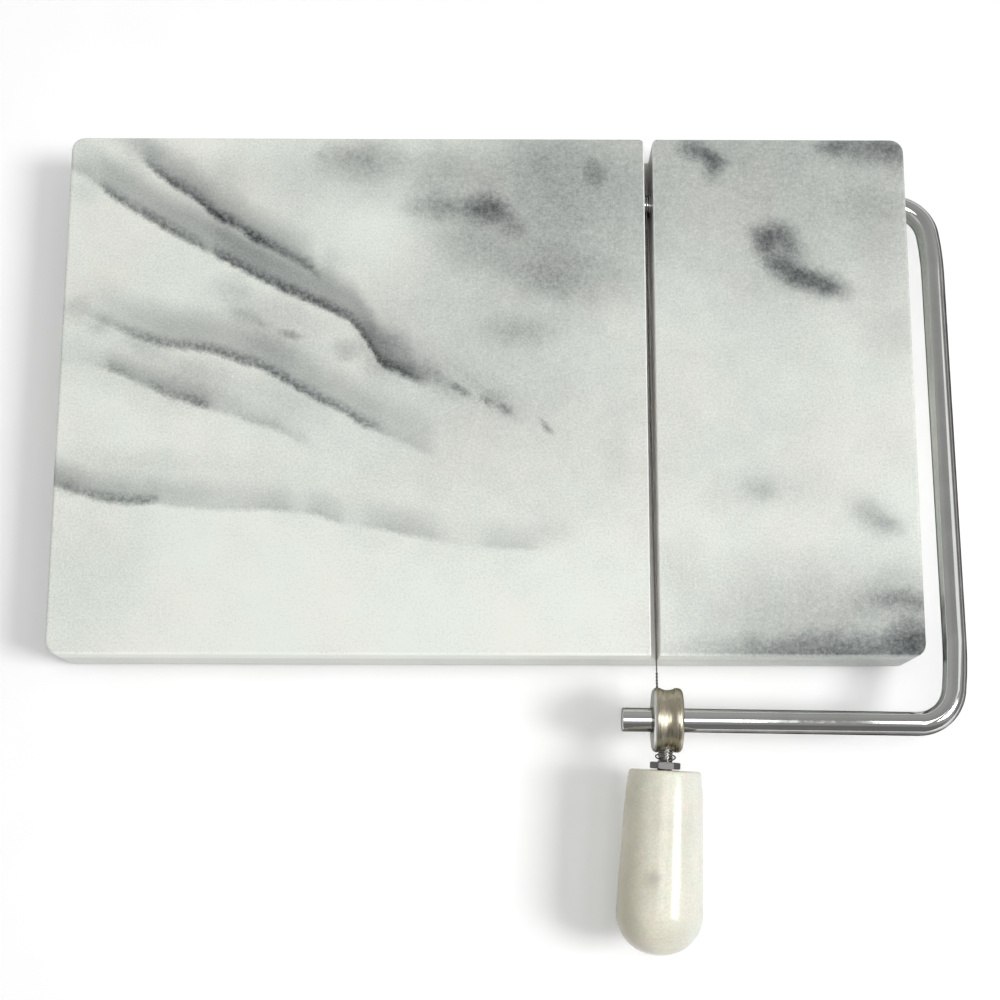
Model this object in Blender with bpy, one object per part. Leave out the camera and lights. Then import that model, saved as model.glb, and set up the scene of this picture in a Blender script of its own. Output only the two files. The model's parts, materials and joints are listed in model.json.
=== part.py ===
"""Cheese slicer board: a marble slab whose right end carries a hinged rod bow with a taut wire.

Units are metres. X runs to the right, Y to the back and Z up. The origin is the centre of the
slab's cutting face. At rest the bow lies forward with its wire just above the floor of the slot.
"""

import math

import bmesh
import bpy
from mathutils import Euler, Vector

# General clearances
TOUCH_GAP = 0.0003            # between two pieces that seat on or in each other
CUT_OVERRUN = 0.0040          # how far a cutter runs past the face it opens
MERGE_DISTANCE = 0.000003     # points of a turned or swept piece this close are one point

# Marble slab
BOARD_WIDTH = 0.2032
BOARD_DEPTH = 0.1270
BOARD_THICKNESS = 0.0190
BOARD_CORNER_RADIUS = 0.0032  # upright corners, in plan
BOARD_EDGE_EASE = 0.0008      # rubbed-down rim of the top and the underside

# Wire slot, sawn from face to face; its floor rises to the front
SLOT_FROM_RIGHT = 0.0624
SLOT_KERF = 0.0021
SLOT_EDGE_EASE = 0.00025
SLOT_STONE_REAR = 0.0035      # stone left under the slot at the rear face
SLOT_STONE_FRONT = 0.0115     # and at the front face
SLOT_MOUTH_FLARE = 0.0010     # rubbed corners where the slot leaves the rear face

# Hinge bore, drilled from the right face through the slot
PIVOT_FROM_REAR = 0.0138
PIVOT_SEAT = 0.0160           # length of rod held in the stone left of the slot
BORE_COUNTERSINK = 0.0015

# Stick-on feet
FOOT_DIAMETER = 0.0120
FOOT_HEIGHT = 0.0025          # underside of the slab to the table
FOOT_TAPER = 0.0007
FOOT_ROUND = 0.0005
FOOT_INSET = 0.0150           # foot centre to the slab's faces

# Bent rod
ROD_DIAMETER = 0.0055
ROD_BEND_RADIUS = 0.0088      # of the rod's centreline, both bends
ROD_EASE_RADIUS = 0.0800      # springy start of each bend, on the side leg
ROD_EASE_TURN = math.radians(8.0)
ROD_BEND_INSET = 0.0018       # the rear bend starts this far inside the right face
ROD_END_ROUND = 0.0005
BOW_TOE_IN = math.radians(0.7)
WIRE_GROOVE_WIDTH = 0.0012
WIRE_GROOVE_DEPTH = 0.0004

# Grooved collar on the front leg
COLLAR_DIAMETER = 0.0146
COLLAR_WIDTH = 0.0068
COLLAR_EDGE_ROUND = 0.0010
COLLAR_GROOVE_WIDTH = 0.0034
COLLAR_GROOVE_DEPTH = 0.0005
COLLAR_CLEARANCE = 0.0079     # from the slab's front face, with the bow's plane level
COLLAR_OFFSET = 0.0022        # collar centre to the right of the slot's centre
COLLAR_TO_FREE_END = 0.0103

# Threaded stud: it screws through the collar's wall and clamps the collar on the rod
STUD_DIAMETER = 0.0035
STUD_LEAN = math.radians(2.8)   # towards the free end, seen from above
STUD_DROP = math.radians(9.5)   # below the bow's plane
STUD_ENGAGEMENT = 0.0090      # stud length inside the handle
STUD_CHAMFER = 0.0003

# Cutting wire
WIRE_DIAMETER = 0.00036
WIRE_TWIST_DIAMETER = 0.00056
WIRE_TWIST_REAR = 0.0100      # twisted run in front of the rear eye
WIRE_TWIST_FRONT = 0.0120     # twisted run behind the collar
WIRE_SIDE_GAP = 0.00015       # running clearance to the slot's right wall
REAR_EYE_NECK = 0.0032        # each eye's loop to where its two sides meet
FRONT_EYE_NECK = 0.0004

# Handle and its fittings, stacked outward along the stud
NUT_ACROSS_FLATS = 0.0060
NUT_THICKNESS = 0.0015
NUT_CHAMFER = 0.0003          # off the corners, across the nut
NUT_CHAMFER_DEPTH = 0.00015   # and along it
INSERT_DIAMETER = 0.0060
INSERT_LENGTH = 0.0120
INSERT_GROOVE_WIDTH = 0.0024  # two glue grooves
INSERT_GROOVE_DEPTH = 0.0004
HANDLE_LENGTH = 0.0410
HANDLE_ROOT_DIAMETER = 0.0165
HANDLE_WIDEST_DIAMETER = 0.0196
HANDLE_CAP_LENGTH = 0.0096    # rounded end beyond the widest section
HANDLE_ROOT_ROUND = 0.0007
HANDLE_CAP_FULLNESS = 2.1     # 2 gives a half ellipse, more gives a blunter end
HANDLE_SWELL = 0.65           # 1 gives a straight taper, less swells sooner

# Roundness of the turned and swept pieces
TURN_SIDES = 48
BORE_SIDES = 32
ROD_SIDES_STEPS = 8           # a swept rod has 4 + 2 times this many sides
WIRE_SIDES_STEPS = 2
ROUND_STEPS = 5
RIM_STEPS = 3
BEND_STEPS = 12
EASE_STEPS = 3
EYE_STEPS = 18
WRAP_STEPS = 10

# Places that follow from the sizes above
RIGHT_FACE = BOARD_WIDTH / 2
REAR_FACE = BOARD_DEPTH / 2
UNDERSIDE = -BOARD_THICKNESS
SLOT_X = RIGHT_FACE - SLOT_FROM_RIGHT
ROD_RADIUS = ROD_DIAMETER / 2
COLLAR_RADIUS = COLLAR_DIAMETER / 2
STUD_RADIUS = STUD_DIAMETER / 2
WIRE_RADIUS = WIRE_DIAMETER / 2
TWIST_RADIUS = WIRE_TWIST_DIAMETER / 2
PIVOT_Y = REAR_FACE - PIVOT_FROM_REAR
PIVOT_Z = UNDERSIDE / 2
BORE_RADIUS = ROD_RADIUS + TOUCH_GAP
STUD_HOLE_RADIUS = STUD_RADIUS + TOUCH_GAP
COLLAR_X = SLOT_X + COLLAR_OFFSET
BOW_REACH = BOARD_DEPTH - PIVOT_FROM_REAR + COLLAR_CLEARANCE + COLLAR_RADIUS  # to the front leg
WRAP_RADIUS = COLLAR_RADIUS + TOUCH_GAP + TWIST_RADIUS

# The wire runs from the hinge axis to the collar's underside, and lies above the slot's floor
WIRE_DIP = math.asin(WRAP_RADIUS / BOW_REACH)
WIRE_Z_AT_FRONT = UNDERSIDE + SLOT_STONE_FRONT + TOUCH_GAP + WIRE_RADIUS
WIRE_RISE = math.atan((WIRE_Z_AT_FRONT - PIVOT_Z) / (PIVOT_Y + REAR_FACE))
BOW_RAISE = WIRE_DIP + WIRE_RISE

# Distances along the stud, outward from the rod's axis
EYE_RADIUS = STUD_RADIUS + TOUCH_GAP + WIRE_RADIUS
EYE_TILT = math.atan((EYE_RADIUS + FRONT_EYE_NECK) / WRAP_RADIUS)
STUD_STATION = ROD_RADIUS + TOUCH_GAP
EYE_STATION = WRAP_RADIUS / math.cos(EYE_TILT)
EYE_OUTER = EYE_STATION + EYE_RADIUS * math.sin(EYE_TILT) + WIRE_RADIUS
NUT_STATION = EYE_OUTER + TOUCH_GAP
HANDLE_STATION = NUT_STATION + NUT_THICKNESS + TOUCH_GAP


def clear_scene():
    """Remove whatever the scene holds."""
    for obj in list(bpy.data.objects):
        bpy.data.objects.remove(obj, do_unlink=True)


def make_material(name, color, roughness, metallic):
    """A plain Principled material."""
    material = bpy.data.materials.new(name)
    material.use_nodes = True
    shader = material.node_tree.nodes["Principled BSDF"]
    shader.inputs["Base Color"].default_value = (*color, 1.0)
    shader.inputs["Roughness"].default_value = roughness
    shader.inputs["Metallic"].default_value = metallic
    return material


def make_empty(name, location, rotation, parent=None):
    """An axis that carries the pieces of one moving body."""
    empty = bpy.data.objects.new(name, None)
    bpy.context.collection.objects.link(empty)
    empty.location = location
    empty.rotation_euler = rotation
    empty.parent = parent
    return empty


def add_object(name, mesh, material=None, parent=None, smooth_angle=math.radians(35)):
    """Put a mesh in the scene as one named piece."""
    mesh.shade_smooth()
    mesh.set_sharp_from_angle(angle=smooth_angle)
    obj = bpy.data.objects.new(name, mesh)
    bpy.context.collection.objects.link(obj)
    if material is not None:
        mesh.materials.append(material)
    obj.parent = parent
    return obj


def mesh_from(bm, name):
    """Turn a bmesh into a mesh with outward faces."""
    bmesh.ops.recalc_face_normals(bm, faces=bm.faces)
    mesh = bpy.data.meshes.new(name)
    bm.to_mesh(mesh)
    bm.free()
    return mesh


def cut(target, cutter):
    """Take the cutter's shape out of the target."""
    cutter.hide_render = True
    cutter.display_type = "WIRE"
    modifier = target.modifiers.new("cut_" + cutter.name, "BOOLEAN")
    modifier.operation = "DIFFERENCE"
    modifier.solver = "EXACT"
    modifier.object = cutter


def keep_inside(target, cutter):
    """Keep only what lies inside the cutter's shape."""
    cut(target, cutter)
    target.modifiers[-1].operation = "INTERSECT"


def turned(name, profile, sides=TURN_SIDES):
    """Turn a profile of (radius, height) points about Z; the ends are closed on the axis."""
    bm = bmesh.new()
    verts = [bm.verts.new((radius, 0.0, height)) for radius, height in profile]
    edges = [bm.edges.new(pair) for pair in zip(verts, verts[1:])]
    bmesh.ops.spin(
        bm, geom=verts + edges, cent=(0.0, 0.0, 0.0), axis=(0.0, 0.0, 1.0),
        angle=2 * math.pi, steps=sides, use_merge=True, use_duplicate=False)
    bmesh.ops.remove_doubles(bm, verts=bm.verts, dist=MERGE_DISTANCE)
    return mesh_from(bm, name)


def turned_ring(name, profile, sides=TURN_SIDES):
    """Turn a closed profile that stays off the axis."""
    return turned(name, profile + [profile[0]], sides)


def rounded_corner(center, radius, start, end, steps=ROUND_STEPS):
    """Points on an arc in a profile, from one angle in degrees to another."""
    angles = [math.radians(start + (end - start) * i / steps) for i in range(steps + 1)]
    return [(center[0] + radius * math.cos(a), center[1] + radius * math.sin(a)) for a in angles]


def loft(name, sections):
    """Join closed sections, each with the same number of points, and cap both ends."""
    bm = bmesh.new()
    rings = [[bm.verts.new(point) for point in section] for section in sections]
    count = len(rings[0])
    for ring, following in zip(rings, rings[1:]):
        for i in range(count):
            j = (i + 1) % count
            bm.faces.new((ring[i], ring[j], following[j], following[i]))
    bm.faces.new(rings[0])
    bm.faces.new(rings[-1])
    return mesh_from(bm, name)


def swept(name, points, radii, side_steps):
    """A round tube through the points, with a radius at each of them."""
    largest = max(radii)
    curve = bpy.data.curves.new(name + "_path", "CURVE")
    curve.dimensions = "3D"
    curve.bevel_depth = largest
    curve.bevel_resolution = side_steps
    curve.use_fill_caps = True
    spline = curve.splines.new("POLY")
    spline.points.add(len(points) - 1)
    for knot, point, radius in zip(spline.points, points, radii):
        knot.co = (*point, 1.0)
        knot.radius = radius / largest
    holder = bpy.data.objects.new(name + "_path", curve)
    bpy.context.collection.objects.link(holder)
    mesh = bpy.data.meshes.new_from_object(holder.evaluated_get(bpy.context.evaluated_depsgraph_get()))
    bpy.data.objects.remove(holder, do_unlink=True)
    bm = bmesh.new()
    bm.from_mesh(mesh)
    bmesh.ops.remove_doubles(bm, verts=bm.verts, dist=MERGE_DISTANCE)
    bpy.data.meshes.remove(mesh)
    return mesh_from(bm, name)


# Marble board

def slab_mesh():
    """The slab with round upright corners and rubbed rims."""
    bm = bmesh.new()
    bmesh.ops.create_cube(bm, size=1.0)
    bmesh.ops.scale(bm, vec=(BOARD_WIDTH, BOARD_DEPTH, BOARD_THICKNESS), verts=bm.verts)
    bmesh.ops.translate(bm, vec=(0.0, 0.0, UNDERSIDE / 2), verts=bm.verts)
    uprights = [e for e in bm.edges if e.verts[0].co.xy == e.verts[1].co.xy]
    bmesh.ops.bevel(
        bm, geom=uprights, offset=BOARD_CORNER_RADIUS, segments=ROUND_STEPS,
        profile=0.5, affect="EDGES")
    middle = UNDERSIDE / 2
    rims = [e for e in bm.edges if (e.verts[0].co.z - middle) * (e.verts[1].co.z - middle) > 0]
    bmesh.ops.bevel(
        bm, geom=rims, offset=BOARD_EDGE_EASE, segments=RIM_STEPS, profile=0.5, affect="EDGES")
    return mesh_from(bm, "marble_board")


def slot_floor(y):
    """Height of the slot's floor at a place along its length."""
    share = (REAR_FACE - y) / BOARD_DEPTH
    return UNDERSIDE + SLOT_STONE_REAR + (SLOT_STONE_FRONT - SLOT_STONE_REAR) * share


def slot_section(y):
    """The saw cut's outline across the slot, with eased top edges."""
    half = SLOT_KERF / 2
    flared = half + SLOT_EDGE_EASE + CUT_OVERRUN
    return [
        (SLOT_X - half, y, slot_floor(y)),
        (SLOT_X + half, y, slot_floor(y)),
        (SLOT_X + half, y, -SLOT_EDGE_EASE),
        (SLOT_X + flared, y, CUT_OVERRUN),
        (SLOT_X - flared, y, CUT_OVERRUN),
        (SLOT_X - half, y, -SLOT_EDGE_EASE),
    ]


def slot_cutter():
    """The whole slot as one cutter."""
    ends = (REAR_FACE + CUT_OVERRUN, -REAR_FACE - CUT_OVERRUN)
    return add_object("slot_cutter", loft("slot_cutter", [slot_section(y) for y in ends]))


def mouth_cutter():
    """A wedge that rubs down the slot's two corners at the rear face."""
    tip = REAR_FACE - SLOT_MOUTH_FLARE - SLOT_KERF / 2
    back = REAR_FACE + CUT_OVERRUN
    half = back - tip
    heights = (slot_floor(REAR_FACE) + SLOT_EDGE_EASE, CUT_OVERRUN)
    sections = [[(SLOT_X, tip, z), (SLOT_X + half, back, z), (SLOT_X - half, back, z)] for z in heights]
    return add_object("mouth_cutter", loft("mouth_cutter", sections))


def rod_start_x():
    """Left end of the rod's hinge leg."""
    return SLOT_X - SLOT_KERF / 2 - PIVOT_SEAT


def bore_cutter():
    """The blind hinge bore with its countersunk mouth."""
    wall = BORE_RADIUS / math.cos(math.pi / BORE_SIDES)
    inner = rod_start_x() - TOUCH_GAP
    neck = RIGHT_FACE - BORE_COUNTERSINK
    outer = RIGHT_FACE + CUT_OVERRUN
    profile = [
        (0.0, inner), (wall, inner), (wall, neck),
        (wall + outer - neck, outer), (0.0, outer),
    ]
    obj = add_object("bore_cutter", turned("bore_cutter", profile, BORE_SIDES))
    obj.location = (0.0, PIVOT_Y, PIVOT_Z)
    obj.rotation_euler = (0.0, math.pi / 2, 0.0)
    return obj


def build_board(marble, rubber):
    """The slab, cut for the wire and the hinge, on its four feet."""
    board = add_object("marble_board", slab_mesh(), marble)
    cut(board, slot_cutter())
    cut(board, mouth_cutter())
    cut(board, bore_cutter())
    build_feet(rubber)


def foot_mesh(name):
    """A low, slightly tapered bumper with a rounded lower rim."""
    top = FOOT_DIAMETER / 2
    bottom = top - FOOT_TAPER
    rim = rounded_corner((bottom - FOOT_ROUND, -FOOT_HEIGHT + FOOT_ROUND), FOOT_ROUND, 0, -90)
    profile = [(0.0, -TOUCH_GAP), (top, -TOUCH_GAP)] + rim + [(0.0, -FOOT_HEIGHT)]
    return turned(name, profile, BORE_SIDES)


def build_feet(rubber):
    """One foot near each corner of the underside."""
    reach_x = RIGHT_FACE - FOOT_INSET
    reach_y = REAR_FACE - FOOT_INSET
    for y_name, y in (("front", -reach_y), ("rear", reach_y)):
        for x_name, x in (("left", -reach_x), ("right", reach_x)):
            name = "foot_" + y_name + "_" + x_name
            foot = add_object(name, foot_mesh(name), rubber)
            foot.location = (x, y, UNDERSIDE)


# Bow: bent rod. In the bow's own frame X is the hinge axis, -Y reaches forward, Z is square to it

def arc_points(start, heading, radius, turn, steps):
    """Points along a bend to the right, with the heading in radians at its end."""
    side = heading - math.pi / 2
    center = start + radius * Vector((math.cos(side), math.sin(side)))
    points = []
    for i in range(1, steps + 1):
        angle = side + math.pi - turn * i / steps
        points.append(center + radius * Vector((math.cos(angle), math.sin(angle))))
    return points, heading - turn


def rear_bend_points():
    """The bend outside the right face: tight first, then easing into the side leg."""
    start = Vector((RIGHT_FACE - ROD_BEND_INSET, 0.0))
    turn = math.pi / 2 + BOW_TOE_IN - ROD_EASE_TURN
    tight, heading = arc_points(start, 0.0, ROD_BEND_RADIUS, turn, BEND_STEPS)
    eased, heading = arc_points(tight[-1], heading, ROD_EASE_RADIUS, ROD_EASE_TURN, EASE_STEPS)
    return [start] + tight + eased, heading


def front_bend_points(start, heading):
    """The front bend: easing out of the side leg, then tight."""
    turn = math.pi / 2 - ROD_EASE_TURN
    eased, heading = arc_points(start, heading, ROD_EASE_RADIUS, ROD_EASE_TURN, EASE_STEPS)
    tight, heading = arc_points(eased[-1], heading, ROD_BEND_RADIUS, turn, BEND_STEPS)
    return [start] + eased + tight, heading


def bow_route():
    """The rod's centreline in the bow's plane: hinge leg, bend, side leg, bend, front leg."""
    rear_bend, heading = rear_bend_points()
    trial = front_bend_points(rear_bend[-1], heading)[0][-1]
    side_length = BOW_REACH + trial.y + (trial.x - COLLAR_X) * math.tan(BOW_TOE_IN)
    side_length *= math.cos(BOW_TOE_IN)
    side_end = rear_bend[-1] + side_length * Vector((math.cos(heading), math.sin(heading)))
    front_bend, heading = front_bend_points(side_end, heading)
    leg = Vector((math.cos(heading), math.sin(heading)))
    free_x = COLLAR_X - COLLAR_TO_FREE_END
    free_end = front_bend[-1] + leg * (front_bend[-1].x - free_x) / math.cos(BOW_TOE_IN)
    return rear_bend, front_bend, free_end, leg


def rounded_end(tip, inward):
    """Stations that round off a rod's end, from the tip inwards."""
    stations = []
    for i in range(ROUND_STEPS):
        angle = math.pi / 2 * i / ROUND_STEPS
        depth = ROD_END_ROUND * (1 - math.cos(angle))
        radius = ROD_RADIUS - ROD_END_ROUND * (1 - math.sin(angle))
        stations.append((tip + inward * depth, radius))
    return stations


def groove_stations():
    """The turned groove that keeps the wire's rear eye in the slot."""
    half = WIRE_GROOVE_WIDTH / 2
    slope = WIRE_GROOVE_DEPTH / 2
    floor = ROD_RADIUS - WIRE_GROOVE_DEPTH
    return [
        (Vector((SLOT_X - half, 0.0)), ROD_RADIUS),
        (Vector((SLOT_X - half + slope, 0.0)), floor),
        (Vector((SLOT_X + half - slope, 0.0)), floor),
        (Vector((SLOT_X + half, 0.0)), ROD_RADIUS),
    ]


def rod_mesh():
    """The bent rod with rounded ends and the wire's groove."""
    rear_bend, front_bend, free_end, leg = bow_route()
    stations = rounded_end(Vector((rod_start_x(), 0.0)), Vector((1.0, 0.0)))
    stations += groove_stations()
    stations += [(point, ROD_RADIUS) for point in rear_bend + front_bend]
    stations += reversed(rounded_end(free_end, -leg))
    points = [(point.x, point.y, 0.0) for point, _ in stations]
    return swept("bow_rod", points, [radius for _, radius in stations], ROD_SIDES_STEPS)


def collar_mesh():
    """A turned collar: flat faces, rounded rims and a shallow hollow groove."""
    half = COLLAR_WIDTH / 2
    rim = COLLAR_EDGE_ROUND
    hollow = COLLAR_GROOVE_WIDTH / 2
    wall = BORE_RADIUS / math.cos(math.pi / TURN_SIDES)
    sag_radius = (hollow ** 2 + COLLAR_GROOVE_DEPTH ** 2) / (2 * COLLAR_GROOVE_DEPTH)
    groove = []
    for i in range(-ROUND_STEPS, ROUND_STEPS + 1):
        z = hollow * i / ROUND_STEPS
        depth = math.sqrt(sag_radius ** 2 - z ** 2) - (sag_radius - COLLAR_GROOVE_DEPTH)
        groove.append((COLLAR_RADIUS - depth, z))
    lower = rounded_corner((COLLAR_RADIUS - rim, rim - half), rim, -90, 0)
    upper = rounded_corner((COLLAR_RADIUS - rim, half - rim), rim, 0, 90)
    profile = [(wall, -half)] + lower + groove + upper + [(wall, half)]
    return turned_ring("wire_collar", profile)


def stud_mesh():
    """The stud, from the rod's surface to inside the handle."""
    inner = STUD_STATION
    outer = HANDLE_STATION + STUD_ENGAGEMENT
    tip = STUD_RADIUS - STUD_CHAMFER
    profile = [
        (0.0, inner), (tip, inner), (STUD_RADIUS, inner + STUD_CHAMFER),
        (STUD_RADIUS, outer - STUD_CHAMFER), (tip, outer), (0.0, outer),
    ]
    return turned("clamp_stud", profile, BORE_SIDES)


def stud_hole_cutter(parent):
    """The hole through the collar's wall that the stud screws into."""
    wall = STUD_HOLE_RADIUS / math.cos(math.pi / BORE_SIDES)
    outer = COLLAR_RADIUS + CUT_OVERRUN
    profile = [(0.0, 0.0), (wall, 0.0), (wall, outer), (0.0, outer)]
    mesh = turned("stud_hole_cutter", profile, BORE_SIDES)
    return add_object("stud_hole_cutter", mesh, parent=parent)


# Cutting wire

def eye_loop(center, toward, across, radius, throat):
    """An eye in the plane of two unit vectors: its tail, its loop and its throat, in order."""
    opening = math.acos(radius / throat)
    sweep = 2 * math.pi - 2 * opening
    loop = []
    for i in range(EYE_STEPS + 1):
        angle = opening + sweep * i / EYE_STEPS
        loop.append(center + radius * (toward * math.cos(angle) + across * math.sin(angle)))
    meeting = center + toward * throat
    standoff = WIRE_RADIUS + TWIST_RADIUS + TOUCH_GAP
    tail = meeting + (loop[0] - meeting).normalized() * standoff
    return [tail] + loop + [meeting]


def collar_center():
    """The collar's centre in the bow's frame."""
    return Vector((COLLAR_X, -BOW_REACH, 0.0))


def stud_rotation():
    """Turns Z outward along the stud, and Y square to it and up."""
    return Euler((math.pi / 2 + STUD_DROP, 0.0, -STUD_LEAN))


def wrap_point(angle, offset):
    """A point of the wire on the collar's underside; the angle is 0 straight below."""
    leg = Vector((math.cos(BOW_TOE_IN), -math.sin(BOW_TOE_IN), 0.0))
    forward = Vector((-math.sin(BOW_TOE_IN), -math.cos(BOW_TOE_IN), 0.0))
    down = Vector((0.0, 0.0, -1.0))
    spoke = forward * math.sin(angle) + down * math.cos(angle)
    return collar_center() + spoke * WRAP_RADIUS + leg * offset


def wire_stations():
    """Points and radii along the whole wire, from the rear eye's tail to the front eye's tail."""
    hinge = Vector((SLOT_X, 0.0, 0.0))
    room = SLOT_KERF / 2 - WIRE_RADIUS - WIRE_SIDE_GAP
    drift = room * BOW_REACH / (PIVOT_Y + REAR_FACE)
    first_offset = SLOT_X + drift - COLLAR_X
    touch = wrap_point(-WIRE_DIP, first_offset)
    along = (touch - hinge).normalized()
    up = Vector((0.0, 0.0, 1.0))
    across = (up - along * up.dot(along)).normalized()
    rear_radius = ROD_RADIUS - WIRE_GROOVE_DEPTH + TOUCH_GAP + WIRE_RADIUS
    rear_eye = eye_loop(hinge, along, across, rear_radius, rear_radius + REAR_EYE_NECK)
    stations = [(point, WIRE_RADIUS) for point in rear_eye[:-1]]
    fade = along * WIRE_TWIST_DIAMETER
    throat = rear_eye[-1]
    twist_end = throat + along * WIRE_TWIST_REAR
    twist_start = touch - along * WIRE_TWIST_FRONT
    stations += [(throat, TWIST_RADIUS), (twist_end, TWIST_RADIUS), (twist_end + fade, WIRE_RADIUS)]
    stations += [(twist_start - fade, WIRE_RADIUS), (twist_start, TWIST_RADIUS)]

    sideways, upward, outward = stud_rotation().to_matrix().col
    lift = outward * math.sin(EYE_TILT) + upward * math.cos(EYE_TILT)
    eye_center = collar_center() + outward * EYE_STATION
    front_eye = eye_loop(eye_center, -lift, sideways, EYE_RADIUS, EYE_RADIUS + FRONT_EYE_NECK)
    front_throat = front_eye[-1]
    leg = Vector((math.cos(BOW_TOE_IN), -math.sin(BOW_TOE_IN), 0.0))
    last_offset = (front_throat - collar_center()).dot(leg)
    last_angle = math.pi / 2 - STUD_DROP - EYE_TILT
    for i in range(WRAP_STEPS):
        share = i / WRAP_STEPS
        angle = -WIRE_DIP + (last_angle + WIRE_DIP) * share
        offset = first_offset + (last_offset - first_offset) * share
        stations.append((wrap_point(angle, offset), TWIST_RADIUS))
    stations.append((front_throat, TWIST_RADIUS))
    stations += [(point, WIRE_RADIUS) for point in reversed(front_eye[:-1])]
    return stations


def wire_mesh():
    """The wire as one tube, thicker where it is twisted back on itself."""
    stations = wire_stations()
    points = [tuple(point) for point, _ in stations]
    return swept("cutting_wire", points, [radius for _, radius in stations], WIRE_SIDES_STEPS)


def build_bow(chrome, nickel, steel):
    """Everything that swings with the rod, on the hinge axis."""
    bow = make_empty("bow_lift", (0.0, PIVOT_Y, PIVOT_Z), (-BOW_RAISE, 0.0, 0.0))
    stud_axis = make_empty("stud_axis", collar_center(), stud_rotation(), bow)
    add_object("bow_rod", rod_mesh(), chrome, bow)
    collar = add_object("wire_collar", collar_mesh(), nickel, bow)
    collar.location = collar_center()
    collar.rotation_euler = (0.0, math.pi / 2, -BOW_TOE_IN)
    cut(collar, stud_hole_cutter(stud_axis))
    add_object("cutting_wire", wire_mesh(), steel, bow)
    return stud_axis


# Handle

def nut_blank():
    """A hexagonal bar with a flat facing up, one nut thick."""
    corner = NUT_ACROSS_FLATS / 2 / math.cos(math.pi / 6)
    hexagon = []
    for i in range(6):
        angle = math.radians(60 * i)
        hexagon.append((corner * math.cos(angle), corner * math.sin(angle)))
    ends = (NUT_STATION, NUT_STATION + NUT_THICKNESS)
    return loft("handle_nut", [[(x, y, z) for x, y in hexagon] for z in ends])


def nut_chamfer_cutter(parent):
    """A turned blank that takes the nut's corners off on both faces."""
    corner = NUT_ACROSS_FLATS / 2 / math.cos(math.pi / 6)
    inner = corner - 2 * NUT_CHAMFER
    outer = corner + NUT_CHAMFER
    low = NUT_STATION - NUT_CHAMFER_DEPTH
    high = NUT_STATION + NUT_THICKNESS + NUT_CHAMFER_DEPTH
    slope = 3 * NUT_CHAMFER_DEPTH
    profile = [
        (0.0, low), (inner, low), (outer, low + slope),
        (outer, high - slope), (inner, high), (0.0, high),
    ]
    return add_object("nut_chamfer_cutter", turned("nut_chamfer_cutter", profile), parent=parent)


def stud_bore_cutter(parent):
    """The threaded hole through the nut, at its clearance size."""
    wall = STUD_HOLE_RADIUS / math.cos(math.pi / BORE_SIDES)
    low = NUT_STATION - CUT_OVERRUN
    high = NUT_STATION + NUT_THICKNESS + CUT_OVERRUN
    profile = [(0.0, low), (wall, low), (wall, high), (0.0, high)]
    mesh = turned("stud_bore_cutter", profile, BORE_SIDES)
    return add_object("stud_bore_cutter", mesh, parent=parent)


def insert_mesh():
    """The threaded sleeve glued into the handle, with two glue grooves between three lands."""
    wall = STUD_HOLE_RADIUS / math.cos(math.pi / BORE_SIDES)
    outer = INSERT_DIAMETER / 2
    floor = outer - INSERT_GROOVE_DEPTH
    low = HANDLE_STATION
    high = low + INSERT_LENGTH
    land = (INSERT_LENGTH - 2 * INSERT_GROOVE_WIDTH) / 3
    profile = [(wall, low), (outer, low)]
    for start in (low + land, high - land - INSERT_GROOVE_WIDTH):
        end = start + INSERT_GROOVE_WIDTH
        profile += [
            (outer, start), (floor, start + INSERT_GROOVE_DEPTH),
            (floor, end - INSERT_GROOVE_DEPTH), (outer, end),
        ]
    profile += [(outer, high), (wall, high)]
    return turned_ring("handle_insert", profile, BORE_SIDES)


def handle_mesh():
    """The turned marble grip: blind bore, gentle swell and a blunt round end."""
    bore = INSERT_DIAMETER / 2 + TOUCH_GAP
    wall = bore / math.cos(math.pi / TURN_SIDES)
    root = HANDLE_ROOT_DIAMETER / 2
    widest = HANDLE_WIDEST_DIAMETER / 2
    start = HANDLE_STATION
    bottom = start + INSERT_LENGTH + TOUCH_GAP
    swell_end = start + HANDLE_LENGTH - HANDLE_CAP_LENGTH
    profile = [(0.0, bottom), (wall, bottom), (wall, start)]
    profile += rounded_corner(
        (root - HANDLE_ROOT_ROUND, start + HANDLE_ROOT_ROUND), HANDLE_ROOT_ROUND, -90, 0)
    steps = 2 * ROUND_STEPS
    swell_start = start + HANDLE_ROOT_ROUND
    for i in range(1, steps + 1):
        share = i / steps
        profile.append((root + (widest - root) * share ** HANDLE_SWELL,
                        swell_start + (swell_end - swell_start) * share))
    power = HANDLE_CAP_FULLNESS
    for i in range(1, 2 * steps + 1):
        angle = math.pi / 2 * i / (2 * steps)
        radius = widest * math.cos(angle) ** (2 / power)
        profile.append((radius if i < 2 * steps else 0.0,
                        swell_end + HANDLE_CAP_LENGTH * math.sin(angle) ** (2 / power)))
    return turned("marble_handle", profile)


def build_handle(stud_axis, cream_marble, steel, brass):
    """The grip with its stud and jam nut, which turn, and the sleeve, which only advances."""
    advance = make_empty("handle_advance", (0.0, 0.0, 0.0), (0.0, 0.0, 0.0), stud_axis)
    turn = make_empty("handle_turn", (0.0, 0.0, 0.0), (0.0, 0.0, 0.0), advance)
    add_object("handle_insert", insert_mesh(), brass, advance)
    add_object("clamp_stud", stud_mesh(), steel, turn)
    nut = add_object("handle_nut", nut_blank(), steel, turn)
    keep_inside(nut, nut_chamfer_cutter(turn))
    cut(nut, stud_bore_cutter(turn))
    add_object("marble_handle", handle_mesh(), cream_marble, turn)


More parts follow.
